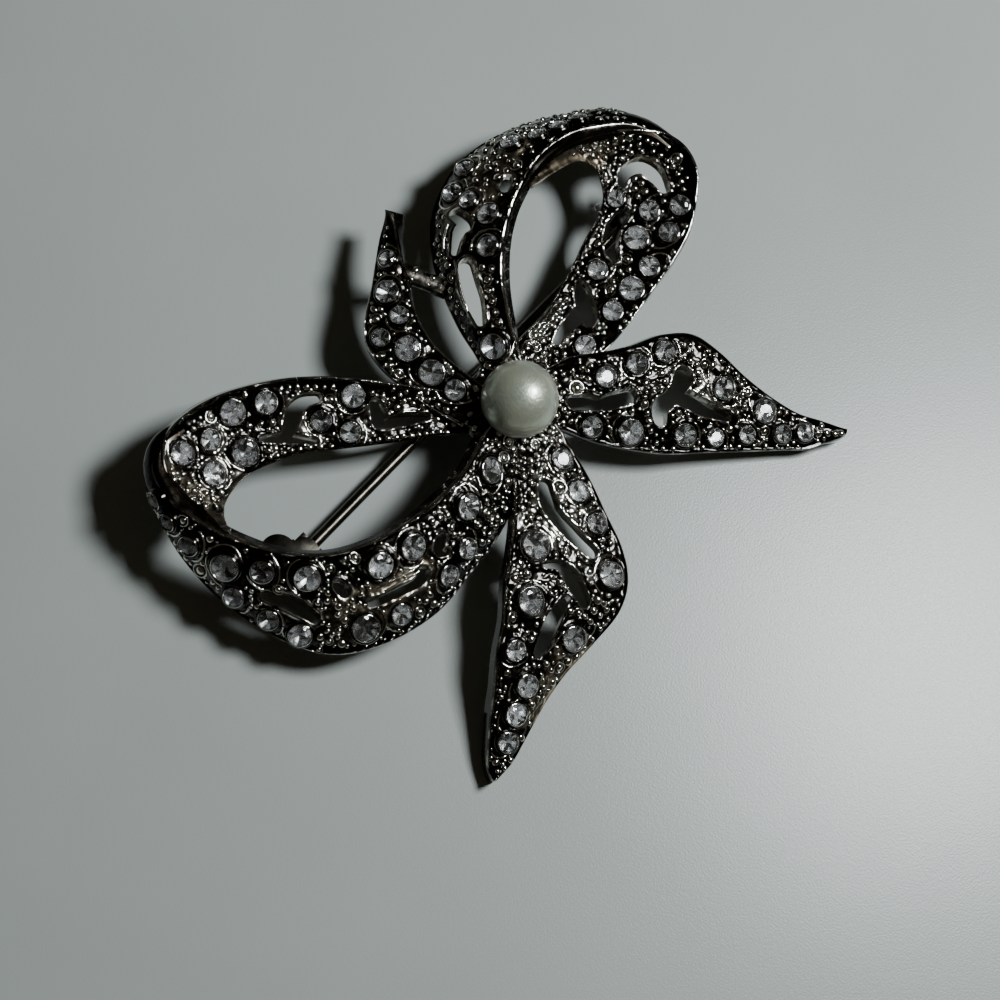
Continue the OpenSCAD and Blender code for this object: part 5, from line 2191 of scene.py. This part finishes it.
@dataclass
class PinWork:
    """The hinged pin, its hinge, its rivet and its catch."""

    sizes: BowSizes
    finishes: Finishes
    bevel: float = 0.07

    def stem(self) -> Piece:
        """Builds the pin: its eye, tapered root, wire, neck and point.

        Returns:
            The dressed pin.
        """
        z = self.sizes
        draft = MeshDraft()
        half, hole = z.eye_w / 2, z.rivet_r + z.running_gap
        eye = [
            (hole, -half + 0.03), (hole + 0.03, -half), (z.eye_r - 0.1, -half), (z.eye_r, -half + 0.1),
            (z.eye_r, half - 0.1), (z.eye_r - 0.1, half), (hole + 0.03, half), (hole, half - 0.03),
        ]
        points, faces = lathe(eye, 48)
        axis = np.array([-z.hinge_x, z.pin_y, z.pin_z])
        draft.add(points[:, [0, 2, 1]] + axis, faces)
        neck = z.hinge_x + z.catch_x - z.catch_l / 2 - 0.3
        end = z.hinge_x + z.catch_x + z.catch_l / 2 + 0.3
        wire = [
            (0.0, 0.62), (z.root_r * 0.98, 0.62), (z.root_r * 0.97, 0.9), (z.stem_r, z.root_l),
            (z.stem_r, neck / 2), (z.stem_r, neck), (z.neck_r, end), (z.neck_r * 0.72, end + z.point_l * 0.5),
            (z.neck_r * 0.2, end + z.point_l), (0.0, end + z.point_l),
        ]
        points, faces = lathe(wire, 32)
        draft.add(points[:, [2, 0, 1]] + axis, faces)
        return dress(draft.build("steel_pin", z.knot_place), self.finishes.pin, 35)

    def dressed(self, node: Piece, name: str) -> Piece:
        """Rounds the edges of a copy of a packed finding.

        Args:
            node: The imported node's object.
            name: Name of the piece.

        Returns:
            The rounded copy.
        """
        shape = bmesh.new()
        shape.from_mesh(node.data)
        bmesh.ops.remove_doubles(shape, verts=shape.verts, dist=1e-6)
        bmesh.ops.dissolve_limit(shape, angle_limit=math.radians(1.0), verts=shape.verts, edges=shape.edges)
        mesh = bpy.data.meshes.new(name)
        shape.to_mesh(mesh)
        shape.free()
        piece = link_piece(name + "_draft", mesh)
        rounded = piece.modifiers.new("edges", "BEVEL")
        rounded.width = self.bevel * MM
        rounded.segments = 2
        rounded.limit_method = "ANGLE"
        rounded.angle_limit = math.radians(50)
        return dress(baked_copy(piece, name), self.finishes.finding, 35)


# studio


@dataclass
class Studio:
    """Camera, floor, one soft lamp and a dim room. Lengths are in millimetres."""

    distance: float = 300.0
    elevation: float = 71.0
    azimuth: float = -177.0
    up_azimuth: float = 42.0
    view_mm: float = 90.0
    target: Row = (-5.8, -3.28, 4.0)
    floor_half: float = 600.0
    floor_z: float = -0.03
    key_place: Row = (173, 86, 184)
    key_target: Row = (0.0, 0.0, 5.0)
    key_side: float = 66
    key_watts: float = 0.88
    key_colour: Row = (0.96, 0.99, 1.0)
    room_colour: Row = (0.62, 0.54, 0.38, 1)
    room_strength: float = 0.045

    def build(self) -> None:
        """Builds the camera, the floor, the key lamp and the room."""
        self.camera()
        self.floor()
        self.key_lamp()
        self.room()

    def axes(self) -> tuple[Array, Array, Array]:
        """Directions of the view.

        Returns:
            Back towards the camera, right, and up, as seen in the picture.
        """
        a, e, h = (math.radians(x) for x in (self.azimuth, self.elevation, self.up_azimuth))
        back = np.array([math.cos(a) * math.cos(e), math.sin(a) * math.cos(e), math.sin(e)])
        right = unit(np.cross(-back, (math.cos(h), math.sin(h), 0.0)))
        return back, right, np.cross(back, right)

    @staticmethod
    def stand(name: str, data: bpy.types.ID, place: Array, turn: Matrix) -> Piece:
        """Links a new camera or lamp at a place in millimetres, turned, and returns it.

        Args:
            name: what it is called.
            data: the camera or lamp.
            place: its place, in mm.
            turn: the way it is turned.

        Returns:
            The new object.
        """
        thing = bpy.data.objects.new(name, data)
        thing.matrix_world = Matrix.Translation(Vector((place * MM).tolist())) @ turn.to_4x4()
        bpy.context.scene.collection.objects.link(thing)
        return thing

    def camera(self) -> None:
        """Builds the camera at the photo's angle."""
        back, right, up = self.axes()
        data = bpy.data.cameras.new("photo_view")
        data.sensor_fit = "HORIZONTAL"
        data.sensor_width = 36.0
        data.lens = data.sensor_width * self.distance / self.view_mm
        data.clip_start, data.clip_end = 0.01, 10.0
        turn = Matrix(np.stack([right, up, back], axis=1).tolist())
        place = np.array(self.target) + back * self.distance
        bpy.context.scene.camera = self.stand("photo_view", data, place, turn)

    def floor(self) -> None:
        """Builds the pale floor."""
        corners = np.array([(-1, -1, 0), (1, -1, 0), (1, 1, 0), (-1, 1, 0)]) * self.floor_half
        mesh = bpy.data.meshes.new("pale_floor")
        mesh.from_pydata(((corners + (0, 0, self.floor_z)) * MM).tolist(), [], [(0, 1, 2, 3)])
        floor = link_piece("pale_floor", mesh)
        mesh.materials.append(FloorFinish().make())

    def key_lamp(self) -> None:
        """Builds the soft square lamp at the upper right."""
        back, right, up = self.axes()
        data = bpy.data.lights.new("key_window", "AREA")
        data.size = self.key_side * MM
        data.energy = self.key_watts
        data.color = self.key_colour
        middle = np.array(self.key_target)
        place = middle + right * self.key_place[0] + up * self.key_place[1] + back * self.key_place[2]
        aim = Vector((middle - place).tolist()).to_track_quat("-Z", "Y")
        self.stand("key_window", data, place, aim.to_matrix())

    def room(self) -> None:
        """Builds the dim light that comes from all round."""
        world = bpy.data.worlds.new("dim_room")
        world.use_nodes = True
        background = world.node_tree.nodes["Background"]
        background.inputs["Color"].default_value = self.room_colour
        background.inputs["Strength"].default_value = self.room_strength
        bpy.context.scene.world = world


# everything


def report(piece: Piece) -> None:
    """Logs one finished piece."""
    piece.data.calc_loop_triangles()
    LOG.info("%s: %d triangles", piece.name, len(piece.data.loop_triangles))


def main() -> None:
    """Builds every class in order and reports each piece but the stones."""
    logging.basicConfig(level=logging.INFO, format="%(message)s")
    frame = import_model()
    sizes = BowSizes()
    finishes = Finishes.build()
    Studio().build()

    casting = Casting(sizes, finishes)
    for piece in casting.build():
        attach(piece, "brooch")
        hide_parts("bow_casting")
        report(piece)

    for piece, node in StoneSet(casting.stones, sizes, finishes).build():
        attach(piece, "brooch")
        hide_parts(node)

    pearl = Pearl(sizes, finishes).build()
    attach(pearl, "brooch")
    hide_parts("pearl")
    report(pearl)

    pin_work = PinWork(sizes, finishes)
    stem = pin_work.stem()
    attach(stem, "pin")
    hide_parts("pin_stem")
    report(stem)
    for node in ("pin_hinge", "hinge_rivet", "pin_catch"):
        piece = pin_work.dressed(frame["nodes"][node], f"steel_{node}")
        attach(piece, "brooch")
        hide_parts(node)
        report(piece)


if __name__ == "__main__":
    main()
